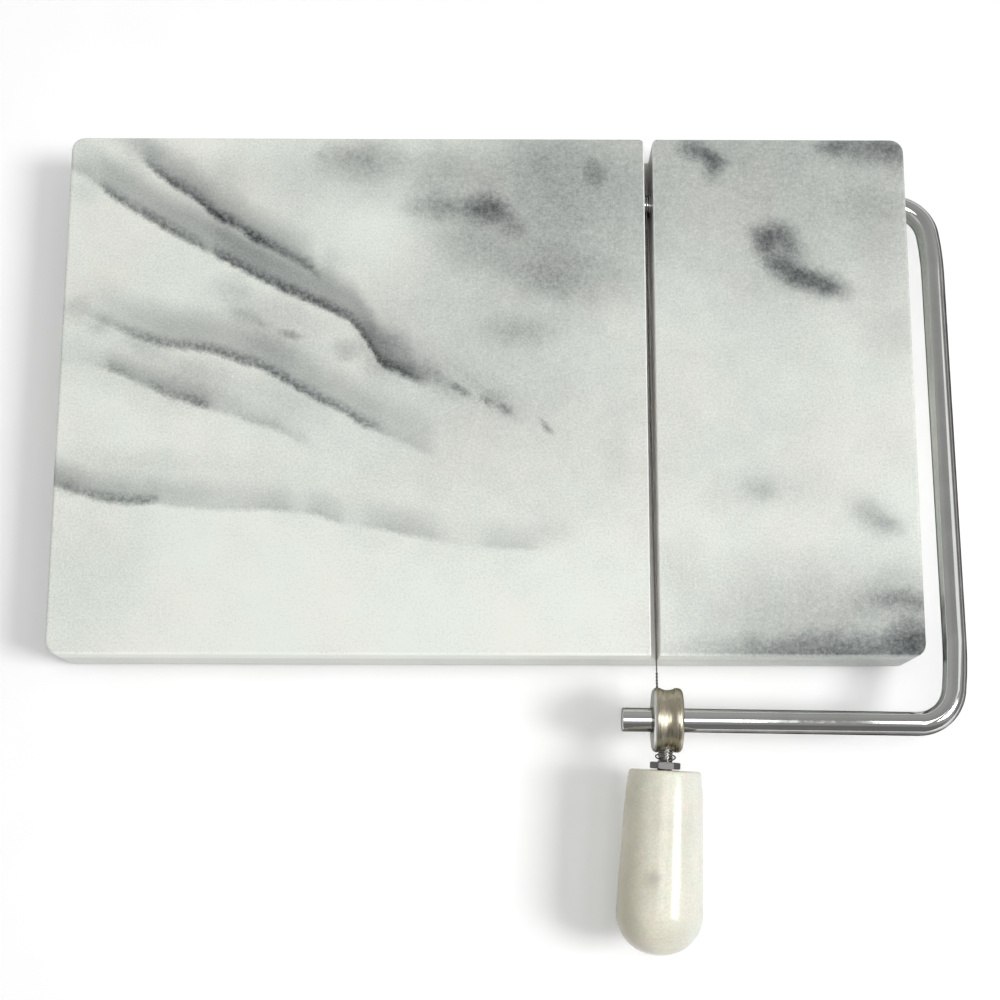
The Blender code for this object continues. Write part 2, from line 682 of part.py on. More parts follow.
def main():
    """Build every piece, fixed ones first."""
    clear_scene()
    marble = make_material("white_marble", (0.78, 0.80, 0.77), 0.22, 0.0)
    cream_marble = make_material("cream_marble", (0.80, 0.79, 0.70), 0.18, 0.0)
    chrome = make_material("chromed_rod", (0.62, 0.63, 0.62), 0.12, 1.0)
    nickel = make_material("nickel_collar", (0.58, 0.55, 0.47), 0.20, 1.0)
    steel = make_material("plain_steel", (0.45, 0.45, 0.44), 0.30, 1.0)
    brass = make_material("brass_insert", (0.72, 0.58, 0.30), 0.35, 1.0)
    rubber = make_material("foot_rubber", (0.62, 0.62, 0.60), 0.65, 0.0)
    build_board(marble, rubber)
    stud_axis = build_bow(chrome, nickel, steel)
    build_handle(stud_axis, cream_marble, steel, brass)


main()
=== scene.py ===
"""Cheese slicer board: finishes, twisted wire, thread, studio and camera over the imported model.

Lengths are metres unless a name or a comment says millimetres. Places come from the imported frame
or from the same named sizes as the model, so every piece lies where its solid lies.
"""

import json
import math

import bmesh
import bpy
from mathutils import Euler, Matrix, Vector


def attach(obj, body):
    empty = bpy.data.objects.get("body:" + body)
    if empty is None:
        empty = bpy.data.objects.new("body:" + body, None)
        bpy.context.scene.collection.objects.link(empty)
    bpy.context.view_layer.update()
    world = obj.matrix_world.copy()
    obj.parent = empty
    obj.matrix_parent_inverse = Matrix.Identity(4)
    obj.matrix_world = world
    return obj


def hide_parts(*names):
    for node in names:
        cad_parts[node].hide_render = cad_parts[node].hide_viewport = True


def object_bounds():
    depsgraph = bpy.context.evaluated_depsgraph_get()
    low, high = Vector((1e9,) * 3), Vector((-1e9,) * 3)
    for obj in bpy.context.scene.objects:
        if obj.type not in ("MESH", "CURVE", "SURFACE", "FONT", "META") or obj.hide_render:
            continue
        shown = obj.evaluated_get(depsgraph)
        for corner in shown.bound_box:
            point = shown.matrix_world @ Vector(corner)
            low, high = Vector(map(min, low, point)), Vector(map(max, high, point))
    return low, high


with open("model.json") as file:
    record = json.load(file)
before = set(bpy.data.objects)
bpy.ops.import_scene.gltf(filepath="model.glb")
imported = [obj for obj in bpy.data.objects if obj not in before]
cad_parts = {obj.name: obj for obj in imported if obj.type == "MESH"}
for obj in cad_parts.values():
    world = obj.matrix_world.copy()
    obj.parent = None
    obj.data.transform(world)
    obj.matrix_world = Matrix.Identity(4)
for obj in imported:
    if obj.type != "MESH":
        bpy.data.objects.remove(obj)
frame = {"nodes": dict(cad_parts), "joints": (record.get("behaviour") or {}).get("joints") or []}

CAD_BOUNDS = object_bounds()

# Sizes of the model that the wire, the thread, the wear and the painted light and shade follow
SLAB_DEPTH = 0.127
SLOT_X = 0.0392
SLOT_KERF = 0.0021
SLOT_LENGTH_TO_HINGE = 0.1132     # from the slot's front mouth to the hinge axis
ROD_RADIUS = 0.00275
BOW_REACH = 0.1284                # from the hinge axis to the front leg
BOW_TOE_IN = math.radians(0.7)
COLLAR_X = 0.0414
COLLAR_RADIUS = 0.0073
COLLAR_HALF_WIDTH = 0.0034
TOUCH_GAP = 0.0003                # between pieces that touch on the real object

# Wire
WIRE_RADIUS = 0.00018
WIRE_SIDE_GAP = 0.00015           # to the slot's right wall, at its mouth
WIRE_GROOVE_DEPTH = 0.0004
WIRE_Z_AT_FRONT = -0.00702        # where the wire leaves the slot
TWIST_RADIUS = 0.00028
TWIST_REAR = 0.0100               # twisted run in front of the rear eye
TWIST_FRONT = 0.0120              # twisted run behind the collar
STRAND_RADIUS = 0.00014
STRAND_PITCH = 0.0015
STRAND_STEPS = 12                 # points for each turn of a strand
REAR_EYE_NECK = 0.0032            # from an eye's ring to where its sides meet
FRONT_EYE_NECK = 0.0004
EYE_STEPS = 36
EYE_WIRE_RADIUS = WIRE_RADIUS * 0.9
PLAIN_FADE = WIRE_RADIUS * 3      # between a twisted end and the plain run
WRAP_STEPS = 60
TUBE_SIDES_STEPS = 3

# Clamp stud
STUD_LEAN = math.radians(2.8)
STUD_DROP = math.radians(9.5)
STUD_RADIUS = 0.00175
STUD_LENGTH = 0.01725
STUD_CHAMFER = 0.0003
STUD_SIDES = 32
THREAD_PITCH = 0.0006
THREAD_DEPTH = 0.00028
THREAD_ROWS = 10                  # rings of points for each turn
THREAD_FLANK = 2.6                # the groove takes 2 / 2.6 of the pitch

# Shading across edges
WELD_DISTANCE = 0.000002
SMOOTH_ANGLE = math.radians(35)
NUT_SMOOTH_ANGLE = math.radians(20)
WIRE_SHARP_ANGLE = math.radians(50)
STUD_SHARP_ANGLE = math.radians(60)
NORMAL_WEIGHT = 50

# Sawn dust in the slot, and painted light and shade on the slab; each pair is the range over which
# it comes or goes
SAWN_FROM_SLOT = (SLOT_KERF * 0.58, SLOT_KERF * 0.64)
SAWN_DEPTH = (-0.0006, -0.0002)
SAWN_INSIDE_FACES = (0.00005, 0.00030)
# painted shade: the sawn faces darken towards the slot's rear
SLOT_REAR_PAINTED_SHADE = (0.030, 0.054)
SLOT_REAR_SHADE_SHARE = 0.75
# painted highlight: a pale strip along both top edges of the slot
EDGE_HIGHLIGHT_FROM_SLOT = (SLOT_KERF * 0.5 + 0.0001, SLOT_KERF * 0.5 + 0.0004)
EDGE_HIGHLIGHT_DEPTH = (-0.0004, -0.0002)
EDGE_HIGHLIGHT_SHARE = (0.70, 0.95)
# painted highlight: the upper part of the front face is lightened along the front rim
RIM_HIGHLIGHT_FRONT = (-0.5 * SLAB_DEPTH + 0.0003, -0.5 * SLAB_DEPTH + 0.0009)
RIM_HIGHLIGHT_DEPTH = (-0.0080, -0.0040)
RIM_HIGHLIGHT_GAIN = (1.28, 1.28, 1.28)
# painted shade: the slab darkens towards its bottom
LOW_PAINTED_SHADE_DEPTH = (-0.0185, -0.0150)
LOW_PAINTED_SHADE_SHARE = 0.30

# Linear colours; the marbles' colours stand by their functions, as a screen shows them
# pale sawn dust, also the colour of the painted highlight along the slot's edges
SAWN_DUST_AND_EDGE_HIGHLIGHT = (0.96, 0.955, 0.93)
SAWN_STONE_DULL = (0.90, 0.88, 0.84)
# dark stone colour of the painted shade at the slot's rear and along the slab's bottom
PAINTED_SHADE_STONE = (0.45, 0.44, 0.42)
CHROME = ((0.66, 0.67, 0.65), (0.60, 0.61, 0.59))
# painted dark reflection on the bow's sides that face right and to the front
CHROME_PAINTED_REFLECTION = (0.17, 0.16, 0.16)
STUD_STEEL = ((0.42, 0.42, 0.41), (0.33, 0.33, 0.32))
NUT_STEEL = ((0.17, 0.17, 0.165), (0.11, 0.11, 0.105))
WIRE_STEEL = ((0.44, 0.43, 0.41), (0.32, 0.31, 0.30))
# painted shade on the wire in front of the slab
WIRE_PAINTED_SHADE = (0.13, 0.12, 0.11)
NICKEL = ((0.58, 0.54, 0.43), (0.48, 0.43, 0.33))
NICKEL_RING = (0.30, 0.25, 0.18)
# painted highlight on the collar's left flat side
NICKEL_PAINTED_HIGHLIGHT = (0.88, 0.88, 0.86)
BRASS = ((0.72, 0.58, 0.30), (0.60, 0.46, 0.22))
PAPER = ((0.92, 0.92, 0.92), (0.94, 0.94, 0.94))

# Noises: repeats in each metre, octaves, and how strong the finer octaves are
SAWN_DUST = (500.0, 3.0, 0.6)
PLATE_DRIFT = (90.0, 3.0, 0.5)
PLATE_SMEAR = (220.0, 3.0, 0.55)
HAIRLINES = (900.0, 4.0, 0.6)
WIRE_DRIFT = (600.0, 3.0, 0.5)
RUBBER_MOTTLE = (260.0, 4.0, 0.6)
RUBBER_GRAIN = (2600.0, 3.0, 0.6)
PAPER_FIBRE = (40.0, 3.0, 0.5)

# The same with repeats in each millimetre, for the two marbles and the collar's rings
VEIN_WOBBLE = (0.50, 4.0, 0.6)
VEIN_FRAY = (1.9, 3.0, 0.6)
VEIN_BEADS = (0.85, 3.0, 0.6)
SMOKE_WOBBLE = (0.16, 5.0, 0.6)
SMOKE_MOTTLE = (0.30, 5.0, 0.65)
SMOKE_SPECKLE = (0.9, 4.0, 0.7)
STONE_GRAIN = (1.9, 3.0, 0.85)
STONE_CLOUD = (0.09, 4.0, 0.6)
STONE_TONE = (0.035, 3.0, 0.5)
STONE_WARMTH = (0.045, 2.0, 0.5)
STONE_PITS = (5.0, 3.0, 0.6)
CREAM_WOBBLE = (0.10, 3.0, 0.55)
CREAM_CLOUD = (0.085, 4.0, 0.6)
CREAM_CLOUD_GREY = (0.13, 3.0, 0.6)
CREAM_POLISH = (4.0, 3.0, 0.6)
COLLAR_RINGS = (1.0, 3.0, 0.6)

# Roughness, from the smoothest spots to the roughest
STONE_ROUGH = (0.30, 0.42)
CREAM_ROUGH = (0.19, 0.25)
CHROME_ROUGH = (0.06, 0.13)
STUD_ROUGH = (0.20, 0.34)
NUT_ROUGH = (0.42, 0.56)
BRASS_ROUGH = (0.25, 0.40)
WIRE_ROUGH = (0.28, 0.45)
NICKEL_ROUGH = (0.22, 0.46)
RUBBER_ROUGH = (0.55, 0.75)
PAPER_ROUGH = 0.9

# Depths of the bumps
PIT_DEPTH = 0.00004
POLISH_DEPTH = 0.00003
HAIRLINE_DEPTH = 0.000006
WIRE_DRAWN_DEPTH = 0.00001
RING_DEPTH = 0.00003
RUBBER_GRAIN_DEPTH = 0.00004

# Places of wear on the metals, and of the painted reflection, shade and highlight on them
HAIRLINE_STRETCH = (1.0, 1.0, 6.0)
# painted dark reflection: where the bow faces right, and where it faces the front
DARK_REFLECTION_RIGHT = (0.52, 0.70)       # how far a surface faces right
DARK_REFLECTION_FRONT = (-0.86, -0.70)     # and to the front
DARK_REFLECTION_SHARE = (0.70, 0.92)
# painted shade on the wire, from the slab's front face forwards
WIRE_SHADE_BACK = (-SLAB_DEPTH / 2 - 0.0005, -SLAB_DEPTH / 2 + 0.0025)
WIRE_SHADE_SHARE = 0.85
RING_SCALE = 2400.0               # rings in each metre across the collar
RING_WARP = (120.0, 120.0, 120.0)
RING_SHARE = 0.45
# painted highlight on the collar's left flat side
FLAT_HIGHLIGHT_RANGE = (COLLAR_HALF_WIDTH - 0.0009, COLLAR_HALF_WIDTH - 0.0004)
FLAT_HIGHLIGHT_SHARE = 0.75

# How much light enters the handle, and how far
STONE_GLOW_SHARE = 0.35
STONE_GLOW_DEPTH = 0.003
DISPLAY_GAMMA = 2.2

# Camera, as fitted to the slab's outline
CAMERA_PLACE = (0.003287, -0.114524, 0.41204)
CAMERA_TILT = math.radians(12.002)
CAMERA_ROLL = math.radians(0.1722)
CAMERA_LENS_MM = 64.8
CAMERA_CLIP_START = 0.01
SENSOR_MM = 36.0

# Floor; the camera sees it brighten to plain white from near to far
FLOOR_RADIUS = 6.0
FLOOR_SEGMENTS = 96
FLOOR_DROP = 0.0001
FLOOR_GLOW = 0.08
GLOW_NEAR = 0.45
GLOW_FAR = 1.40

# Lamps: name, place, the point it faces, size along world Y, the other size, watts
SOFT_BOX_POWER = 2.9
LAMPS = [
    ("soft_box_left", (0.03, -0.09, 1.10), (0.03, -0.09, 0.0), 0.38, 0.45, SOFT_BOX_POWER * 0.75),
    ("soft_box_right", (0.38, -0.09, 1.10), (0.38, -0.09, 0.0), 0.13, 0.45, SOFT_BOX_POWER * 0.25),
    ("window", (1.70, -0.38, 2.20), (0.04, -0.10, 0.0), 0.72, 0.86, 43.0),
    ("window_pane", (1.90, 0.82, 2.06), (0.10, 0.00, 0.0), 0.68, 1.90, 2.9),
]

# Room around the object: along one axis of the direction, from low to high, the level goes from
# the third number to the fourth
ROOM_HEIGHT = ("Z", 0.55, 0.95, 0.45, 0.37)
ROOM_FRONT = ("Y", -0.72, -0.42, 0.42, 1.0)
ROOM_RIGHT = ("X", 0.80, 0.93, 1.0, 0.50)
WHITE_BEHIND = ("Y", -0.60, -0.20, 0.0, 1.0)
WHITE_NOT_RIGHT = ("X", 0.50, 0.85, 1.0, 0.0)
WHITE_LOW = ("Z", 0.01, 0.07, 1.0, 0.0)

hinge = next(joint for joint in frame["joints"] if joint["name"] == "bow_hinge")
HINGE_PLACE = Vector(hinge["pos_m"])
WRAP_RADIUS = COLLAR_RADIUS + TOUCH_GAP + TWIST_RADIUS
WIRE_DIP = math.asin(WRAP_RADIUS / BOW_REACH)
BOW_RAISE = WIRE_DIP + math.atan((WIRE_Z_AT_FRONT - HINGE_PLACE.z) / SLOT_LENGTH_TO_HINGE)
BOW_FRAME = Matrix.Translation(HINGE_PLACE) @ Matrix.Rotation(-BOW_RAISE, 4, "X")
BOW_LEG = Vector((math.cos(BOW_TOE_IN), -math.sin(BOW_TOE_IN), 0.0))
BOW_FORWARD = Vector((-math.sin(BOW_TOE_IN), -math.cos(BOW_TOE_IN), 0.0))
COLLAR_CENTER = Vector((COLLAR_X, -BOW_REACH, 0.0))
EYE_RADIUS = STUD_RADIUS + TOUCH_GAP + WIRE_RADIUS
EYE_TILT = math.atan((EYE_RADIUS + FRONT_EYE_NECK) / WRAP_RADIUS)
STUD_TURN = Euler((math.pi / 2 + STUD_DROP, 0.0, -STUD_LEAN)).to_matrix()
STUD_FRAME = BOW_FRAME @ Matrix.Translation(COLLAR_CENTER) @ STUD_TURN.to_4x4()


class Finish:
    """One procedural material, with short calls for its nodes."""

    def __init__(self, name):
        self.material = bpy.data.materials.new(name)
        self.material.use_nodes = True
        self.tree = self.material.node_tree
        self.shader = self.tree.nodes["Principled BSDF"]

    def node(self, kind, inputs=(), **settings):
        node = self.tree.nodes.new(kind)
        for key, value in settings.items():
            setattr(node, key, value)
        for key, value in dict(inputs).items():
            self.set(node.inputs[key], value)
        return node

    def set(self, socket, value):
        if isinstance(value, bpy.types.NodeSocket):
            self.tree.links.new(value, socket)
        else:
            socket.default_value = value

    def math(self, operation, a, b=0.0, c=0.0, clamp=False):
        node = self.node("ShaderNodeMath", {0: a, 1: b, 2: c}, operation=operation, use_clamp=clamp)
        return node.outputs[0]

    def product(self, first, *others):
        for other in others:
            first = self.math("MULTIPLY", first, other)
        return first

    def vector(self, operation, a, b=(0.0, 0.0, 0.0)):
        node = self.node("ShaderNodeVectorMath", {0: a, 1: b}, operation=operation)
        return node.outputs[0]

    def axes(self, where):
        return self.node("ShaderNodeSeparateXYZ", {0: where}).outputs

    def ramp(self, value, low, high, to_low=0.0, to_high=1.0, kind="SMOOTHSTEP"):
        node = self.node(
            "ShaderNodeMapRange",
            {"Value": value, "From Min": low, "From Max": high,
             "To Min": to_low, "To Max": to_high},
            interpolation_type=kind)
        return node.outputs["Result"]

    def spread(self, noise, low, high):
        """The bulk of a noise's values, spread evenly from one number to another."""
        return self.ramp(noise, 0.3, 0.7, low, high, "LINEAR")

    def noise(self, where, scale, detail, rough, output="Fac"):
        node = self.node(
            "ShaderNodeTexNoise",
            {"Vector": where, "Scale": scale, "Detail": detail, "Roughness": rough})
        return node.outputs[output]

    def wander(self, place, where, noise, reach):
        """The place, moved by a noise by up to half the reach along each axis."""
        color = self.noise(where, *noise, output="Color")
        shift = self.vector("MULTIPLY", self.vector("SUBTRACT", color, (0.5, 0.5, 0.5)), reach)
        return self.vector("ADD", place, shift)

    def mix(self, factor, a, b, blend="MIX"):
        node = self.node("ShaderNodeMix", data_type="RGBA", blend_type=blend)
        self.set(node.inputs["Factor"], factor)
        for key, value in (("A", a), ("B", b)):
            socket = [s for s in node.inputs if s.name == key and s.type == "RGBA"][0]
            self.set(socket, (*value, 1.0) if isinstance(value, tuple) else value)
        return [s for s in node.outputs if s.type == "RGBA"][0]

    def bump(self, height, distance, strength=1.0):
        node = self.node(
            "ShaderNodeBump", {"Height": height, "Distance": distance, "Strength": strength})
        return node.outputs["Normal"]

    def place(self):
        return self.node("ShaderNodeTexCoord").outputs["Object"]

    def place_mm(self):
        return self.vector("MULTIPLY", self.place(), (1000.0, 1000.0, 1000.0))

    def finish(self, **inputs):
        for key, value in inputs.items():
            name = key.replace("_", " ")
            self.set(self.shader.inputs[name], (*value, 1.0) if isinstance(value, tuple) else value)
        return self.material


def srgb(red, green, blue):
    """A colour as a screen shows it, 0 to 255, in the linear values that a shader takes."""
    def linear(value):
        value /= 255.0
        return value / 12.92 if value <= 0.04045 else ((value + 0.055) / 1.055) ** 2.4
    return (linear(red), linear(green), linear(blue))


# Marble, in millimetres on the cutting face. A darkness of 0 is the whitest stone and 1 is black,
# in even steps to the eye. Each vein gives its shade's width, the share of that width that stays
# full, and the share of a height that counts, because the vein slopes. Then come its knots from
# left to right: x, y, darkness of the crisp lower line, darkness of the shade above that line.

VEINS = {
    "upper": (8.5, 0.05, 0.80, [
        (-90.0, 63.0, 0.00, 0.00), (-85.5, 59.4, 0.00, 0.04), (-82.4, 56.6, 0.16, 0.14),
        (-79.7, 54.2, 0.20, 0.20),
        (-75.7, 51.1, 0.28, 0.23), (-71.7, 48.8, 0.24, 0.23), (-68.2, 45.7, 0.31, 0.26),
        (-65.2, 43.2, 0.32, 0.26), (-61.8, 41.6, 0.28, 0.24), (-59.8, 40.6, 0.19, 0.24),
        (-56.8, 38.1, 0.31, 0.24), (-53.9, 36.6, 0.28, 0.23), (-49.9, 34.5, 0.18, 0.20),
        (-46.0, 32.3, 0.15, 0.18), (-42.6, 30.3, 0.18, 0.13), (-39.0, 28.0, 0.00, 0.00)]),
    "main": (10.0, 0.40, 0.85, [
        (-106.0, 57.5, 0.00, 0.02), (-100.0, 55.2, 0.04, 0.06), (-94.6, 51.8, 0.05, 0.13),
        (-92.6, 50.0, 0.19, 0.19), (-89.1, 47.4, 0.24, 0.20), (-85.1, 44.9, 0.19, 0.22),
        (-81.2, 42.6, 0.27, 0.23), (-77.2, 40.1, 0.24, 0.24), (-73.2, 38.0, 0.19, 0.24),
        (-69.0, 35.6, 0.19, 0.23), (-67.1, 34.7, 0.02, 0.23), (-65.2, 33.6, 0.19, 0.25),
        (-60.4, 31.0, 0.27, 0.28), (-55.5, 28.4, 0.24, 0.28), (-50.7, 25.9, 0.27, 0.28),
        (-45.8, 23.7, 0.29, 0.28), (-40.9, 21.4, 0.29, 0.28), (-36.1, 19.2, 0.28, 0.26),
        (-32.7, 17.4, 0.23, 0.23), (-30.3, 14.6, 0.23, 0.23), (-27.8, 10.8, 0.26, 0.23),
        (-24.9, 6.6, 0.26, 0.23), (-20.6, 4.4, 0.24, 0.20), (-17.6, 3.0, 0.22, 0.14),
        (-15.0, 2.0, 0.07, 0.05), (-12.0, 1.2, 0.00, 0.01), (-8.0, 0.4, 0.00, 0.00)]),
    "middle": (11.0, 0.35, 0.90, [
        (-101.0, 20.0, 0.00, 0.00), (-95.0, 18.2, 0.04, 0.03), (-91.0, 16.6, 0.08, 0.07),
        (-87.6, 14.8, 0.12, 0.10),
        (-82.7, 12.8, 0.19, 0.13), (-77.9, 11.3, 0.20, 0.15), (-73.1, 10.6, 0.19, 0.17),
        (-68.3, 10.0, 0.24, 0.18), (-63.5, 8.9, 0.27, 0.18), (-58.7, 7.2, 0.24, 0.19),
        (-53.9, 5.5, 0.24, 0.19), (-49.0, 3.0, 0.27, 0.18), (-44.2, 0.1, 0.27, 0.15),
        (-39.4, -2.6, 0.24, 0.15), (-34.6, -4.8, 0.22, 0.14), (-31.8, -6.7, 0.24, 0.13),
        (-28.4, -8.7, 0.22, 0.13), (-25.1, -9.9, 0.12, 0.10), (-21.5, -11.6, 0.03, 0.08),
        (-17.0, -13.6, 0.04, 0.08), (-12.0, -16.0, 0.00, 0.03), (-10.0, -17.0, 0.00, 0.00)]),
    "lower": (6.0, 0.20, 0.95, [
        (-97.7, 6.8, 0.00, 0.03), (-91.0, 5.3, 0.03, 0.08), (-88.6, 4.7, 0.17, 0.13),
        (-85.7, 3.5, 0.12, 0.13), (-81.3, 1.4, 0.06, 0.10), (-77.9, -0.2, 0.19, 0.13),
        (-75.0, -1.5, 0.13, 0.14), (-70.7, -2.8, 0.19, 0.15), (-66.8, -4.0, 0.23, 0.15),
        (-65.0, -4.6, 0.04, 0.12), (-60.6, -5.9, 0.03, 0.08), (-55.4, -7.8, 0.10, 0.08),
        (-51.1, -8.9, 0.10, 0.08), (-47.7, -10.4, 0.08, 0.06), (-43.4, -12.6, 0.04, 0.04),
        (-39.0, -14.6, 0.00, 0.00)]),
    "lowest": (8.0, 0.20, 1.0, [
        (-106.0, -22.2, 0.08, 0.22), (-97.5, -24.4, 0.10, 0.20), (-94.2, -25.5, 0.15, 0.19),
        (-90.3, -26.6, 0.18, 0.18), (-85.6, -27.3, 0.24, 0.17), (-81.0, -27.5, 0.24, 0.15),
        (-77.2, -27.1, 0.18, 0.14), (-75.6, -27.6, 0.03, 0.12), (-69.3, -28.4, 0.03, 0.10),
        (-62.2, -28.8, 0.03, 0.10), (-56.0, -28.8, 0.03, 0.12), (-52.4, -28.6, 0.05, 0.14),
        (-47.6, -29.0, 0.06, 0.12), (-43.0, -29.4, 0.03, 0.06), (-39.7, -29.9, 0.08, 0.10),
        (-35.0, -31.6, 0.06, 0.09), (-31.0, -32.4, 0.00, 0.04), (-27.1, -32.8, 0.03, 0.08),
        (-20.0, -34.2, 0.05, 0.12), (-14.4, -35.4, 0.05, 0.10), (-9.0, -36.6, 0.01, 0.05),
        (-3.0, -37.4, 0.00, 0.03), (2.0, -37.6, 0.03, 0.08), (8.0, -37.9, 0.04, 0.09),
        (12.5, -38.2, 0.01, 0.04), (17.0, -38.0, 0.00, 0.00)]),
}

# Soft patches: x, y, half length and half width at half strength in millimetres, turn in degrees,
# darkness. The first rows are the broad tones of the slab, the rest are smoke and spots.
PATCHES = [
    (-5, -8, 38, 26, 0, 0.10), (-80, 20, 28, 32, 0, 0.05), (70, -8, 34, 34, 0, 0.07),
    (-48, 48, 14, 15, 0, 0.07), (12, 46, 23, 20, -8, 0.25), (70, 68, 40, 36, 0, 0.25),
    (0, 12, 26, 15, 0, 0.07), (20, 29, 14, 6, -10, 0.09), (80, -58, 29, 13, 0, 0.21),
    (-94, -44, 16, 20, 0, 0.06), (-24, 24, 14, 8, -35, 0.05), (-72, 54, 11, 5, -35, 0.08),
    (-36, 56, 12, 8, 0, 0.08), (-17, 54, 7, 8, 0, 0.08), (98, 40, 9, 22, 0, 0.06),
    (-90, -20, 14, 4, 0, 0.05), (-46, 19, 8, 3, -22, 0.07), (0, 45.6, 3.6, 3.3, 0, 0.25),
    (-9, 45.6, 8, 2.8, 3, 0.18), (5, 42, 4.2, 2.4, -40, 0.15), (-5, 37, 8, 6, 0, 0.10),
    (15, 27.5, 8, 3.2, -20, 0.06), (8, 14.5, 7.5, 3.2, 0, 0.10), (14, 57, 8, 5, 0, 0.06),
    (26.4, 54.6, 2.3, 2.6, 0, 0.15), (-30, 58, 7.5, 4.4, 0, 0.20),
    (-40.6, 58.7, 1.3, 1.0, 0, 0.09), (-8, 55, 8, 5, 0, 0.08), (-26, 5, 4, 2, -30, 0.07),
    (-57.6, 17.9, 3.4, 1.5, -22, 0.11), (-53.6, 15.8, 1.8, 0.8, -20, 0.06),
    (-46.8, 13.4, 2.3, 0.8, -18, 0.18), (-70, 3, 13, 4.4, -18, 0.09), (-48, 10, 8, 5, -35, 0.06),
    (-60, 37, 10, 3, -35, 0.05), (-66, 41, 4, 2.5, -35, 0.03), (-27.4, 11.6, 5.2, 2.3, -58, 0.14),
    (-19.0, 5.3, 4.6, 1.7, -32, 0.13), (-23, 13, 5, 3, -50, 0.06), (-12, 3.4, 3, 1.6, -25, 0.10),
    (-6.0, -0.2, 2.3, 0.8, -34, 0.22), (0.2, -2.9, 1.1, 0.8, -30, 0.17),
    (4.6, -5.0, 1.4, 0.9, -38, 0.18), (3.0, -3.8, 4.0, 1.6, -36, 0.10),
    (14.3, -9.1, 1.7, 0.7, -42, 0.24), (0, 0, 10, 3, -30, 0.05), (-34, 9.5, 3, 2.4, 0, 0.05),
    (-99, 19.5, 3.2, 2.6, 0, 0.11), (-98, 11, 5, 7, 0, 0.03), (-99, 55.6, 3.2, 2.2, -20, 0.07),
    (-85, 61.6, 5, 2.2, -20, 0.10), (51.4, 60.3, 3.4, 2.2, -18, 0.26),
    (55.6, 57.8, 2.5, 2.0, -35, 0.28), (54.4, 54.6, 2.2, 2.0, 0, 0.12), (84, 61, 3, 1.8, 0, 0.13),
    (94, 61.5, 9, 3.4, 0, 0.24), (100, 59, 3, 4, 0, 0.10), (92, 46, 8, 4, 0, 0.05),
    (69.0, 38.8, 4.2, 2.8, 0, 0.26), (67.2, 35.2, 2.3, 3.8, 8, 0.20),
    (72.6, 33.6, 2.8, 5.4, 6, 0.21), (70.0, 36.2, 1.0, 1.6, 0, -0.08),
    (69.2, 30.6, 2.0, 3.0, 35, 0.12), (74.0, 28.6, 4.8, 2.2, -22, 0.19),
    (80.6, 26.4, 5.2, 2.7, -18, 0.34), (82.6, 25.2, 1.8, 1.4, 0, 0.08),
    (72, 33, 10, 9, -30, 0.05), (64.6, -24.3, 3.4, 2.3, 0, 0.08), (67, -24, 11, 4, 0, 0.05),
    (90, -30, 4.8, 3.2, -38, 0.12), (94.4, -32.6, 3, 1.5, -12, 0.10),
    (84, -63.4, 26, 4.2, 0, 0.36), (99.0, -58.8, 4.8, 4.2, 0, 0.32),
    (98.6, -50.4, 6, 2.2, -6, 0.24), (90, -51, 5, 3, 0, 0.09), (97, -46, 7, 4, 0, 0.07),
    (-92, 15.5, 3, 2, -20, 0.09), (-83, 10.5, 5, 2, -15, 0.08), (-61, 24.5, 4, 3, -30, 0.08),
    (-53, 17, 11, 5, -25, 0.07), (-33, 9.5, 2.5, 2, 0, 0.10), (-38, 31, 3, 3, -35, 0.08),
    (-14, 5.5, 2.5, 1.8, 0, 0.09), (-10, 0.5, 4, 2, -30, 0.08), (-46, -2.5, 7, 4, -25, 0.08),
    (-74, 1, 16, 5, -12, 0.05), (-69, -24.5, 9, 2.5, 0, 0.06), (-98, -24.5, 2, 1.5, 0, 0.07),
    (-86, 57, 4, 4, 0, 0.08), (-62, 55, 5, 5, 0, 0.06), (-98, 50, 3, 2.5, 0, 0.06),
    (-29, 50, 4, 4, 0, 0.06), (-14, 48, 4, 4, 0, 0.05), (-66, -19, 18, 3, -5, 0.05),
    (93, -32.5, 5, 4, -10, 0.07), (46, -44, 5, 6, 0, 0.05), (98, 12, 6, 6, 0, 0.05),
    (16, -34, 4, 3, 0, 0.05), (31, -16, 3, 4, 0, 0.03),
]

# Both marbles, in millimetres
FRONT_FACE_FADE = (-63.4, -62.7)  # y over which the patches weaken towards the front face
FRONT_FACE_SHARE = 0.5            # and what is left of them there
VEIN_SPAN = 110.0                 # the curves run from minus this to plus this
VEIN_EDGE = (-1.60, 0.15)         # a vein's lower edge comes in over these heights above its line
VEIN_CORE = (-0.3, 2.6)           # and its dark line fades out over these
VEIN_WOBBLE_REACH = (1.6, 1.6, 0.0)
VEIN_FRAY_REACH = (1.0, 1.0, 0.0)
VEIN_BEAD_GAIN = (0.42, 1.12)
SMOKE_WOBBLE_REACH = (3.6, 3.6, 0.0)
SMOKE_MOTTLE_GAIN = (0.88, 1.12)
SMOKE_SPECKLE_GAIN = (0.78, 1.22)
STONE_GRAIN_REACH = 0.09
STONE_CLOUD_REACH = 0.02
PATTERN_LEAN = (0.45, -0.30)      # how far the pattern shifts along x and y with depth
STONE_WHITE = (srgb(227, 232, 224), srgb(230, 232, 224))
STONE_WARM = srgb(230, 230, 219)
STONE_WARM_SHARE = 0.4
STONE_WARM_OFFSET = (37.0, 11.0, 5.0)
STONE_RED_POWER = 1.03            # the veins are a trace cooler than the stone
STONE_BLUE_POWER = 0.965

CREAM = (srgb(240, 238, 222), srgb(224, 223, 207))
CREAM_WOBBLE_REACH = (5.0, 5.0, 5.0)
CREAM_GREY = srgb(168, 166, 154)
CREAM_GREY_SHARE = 0.35
CREAM_GREY_OFFSET = (9.0, 4.0, 2.0)
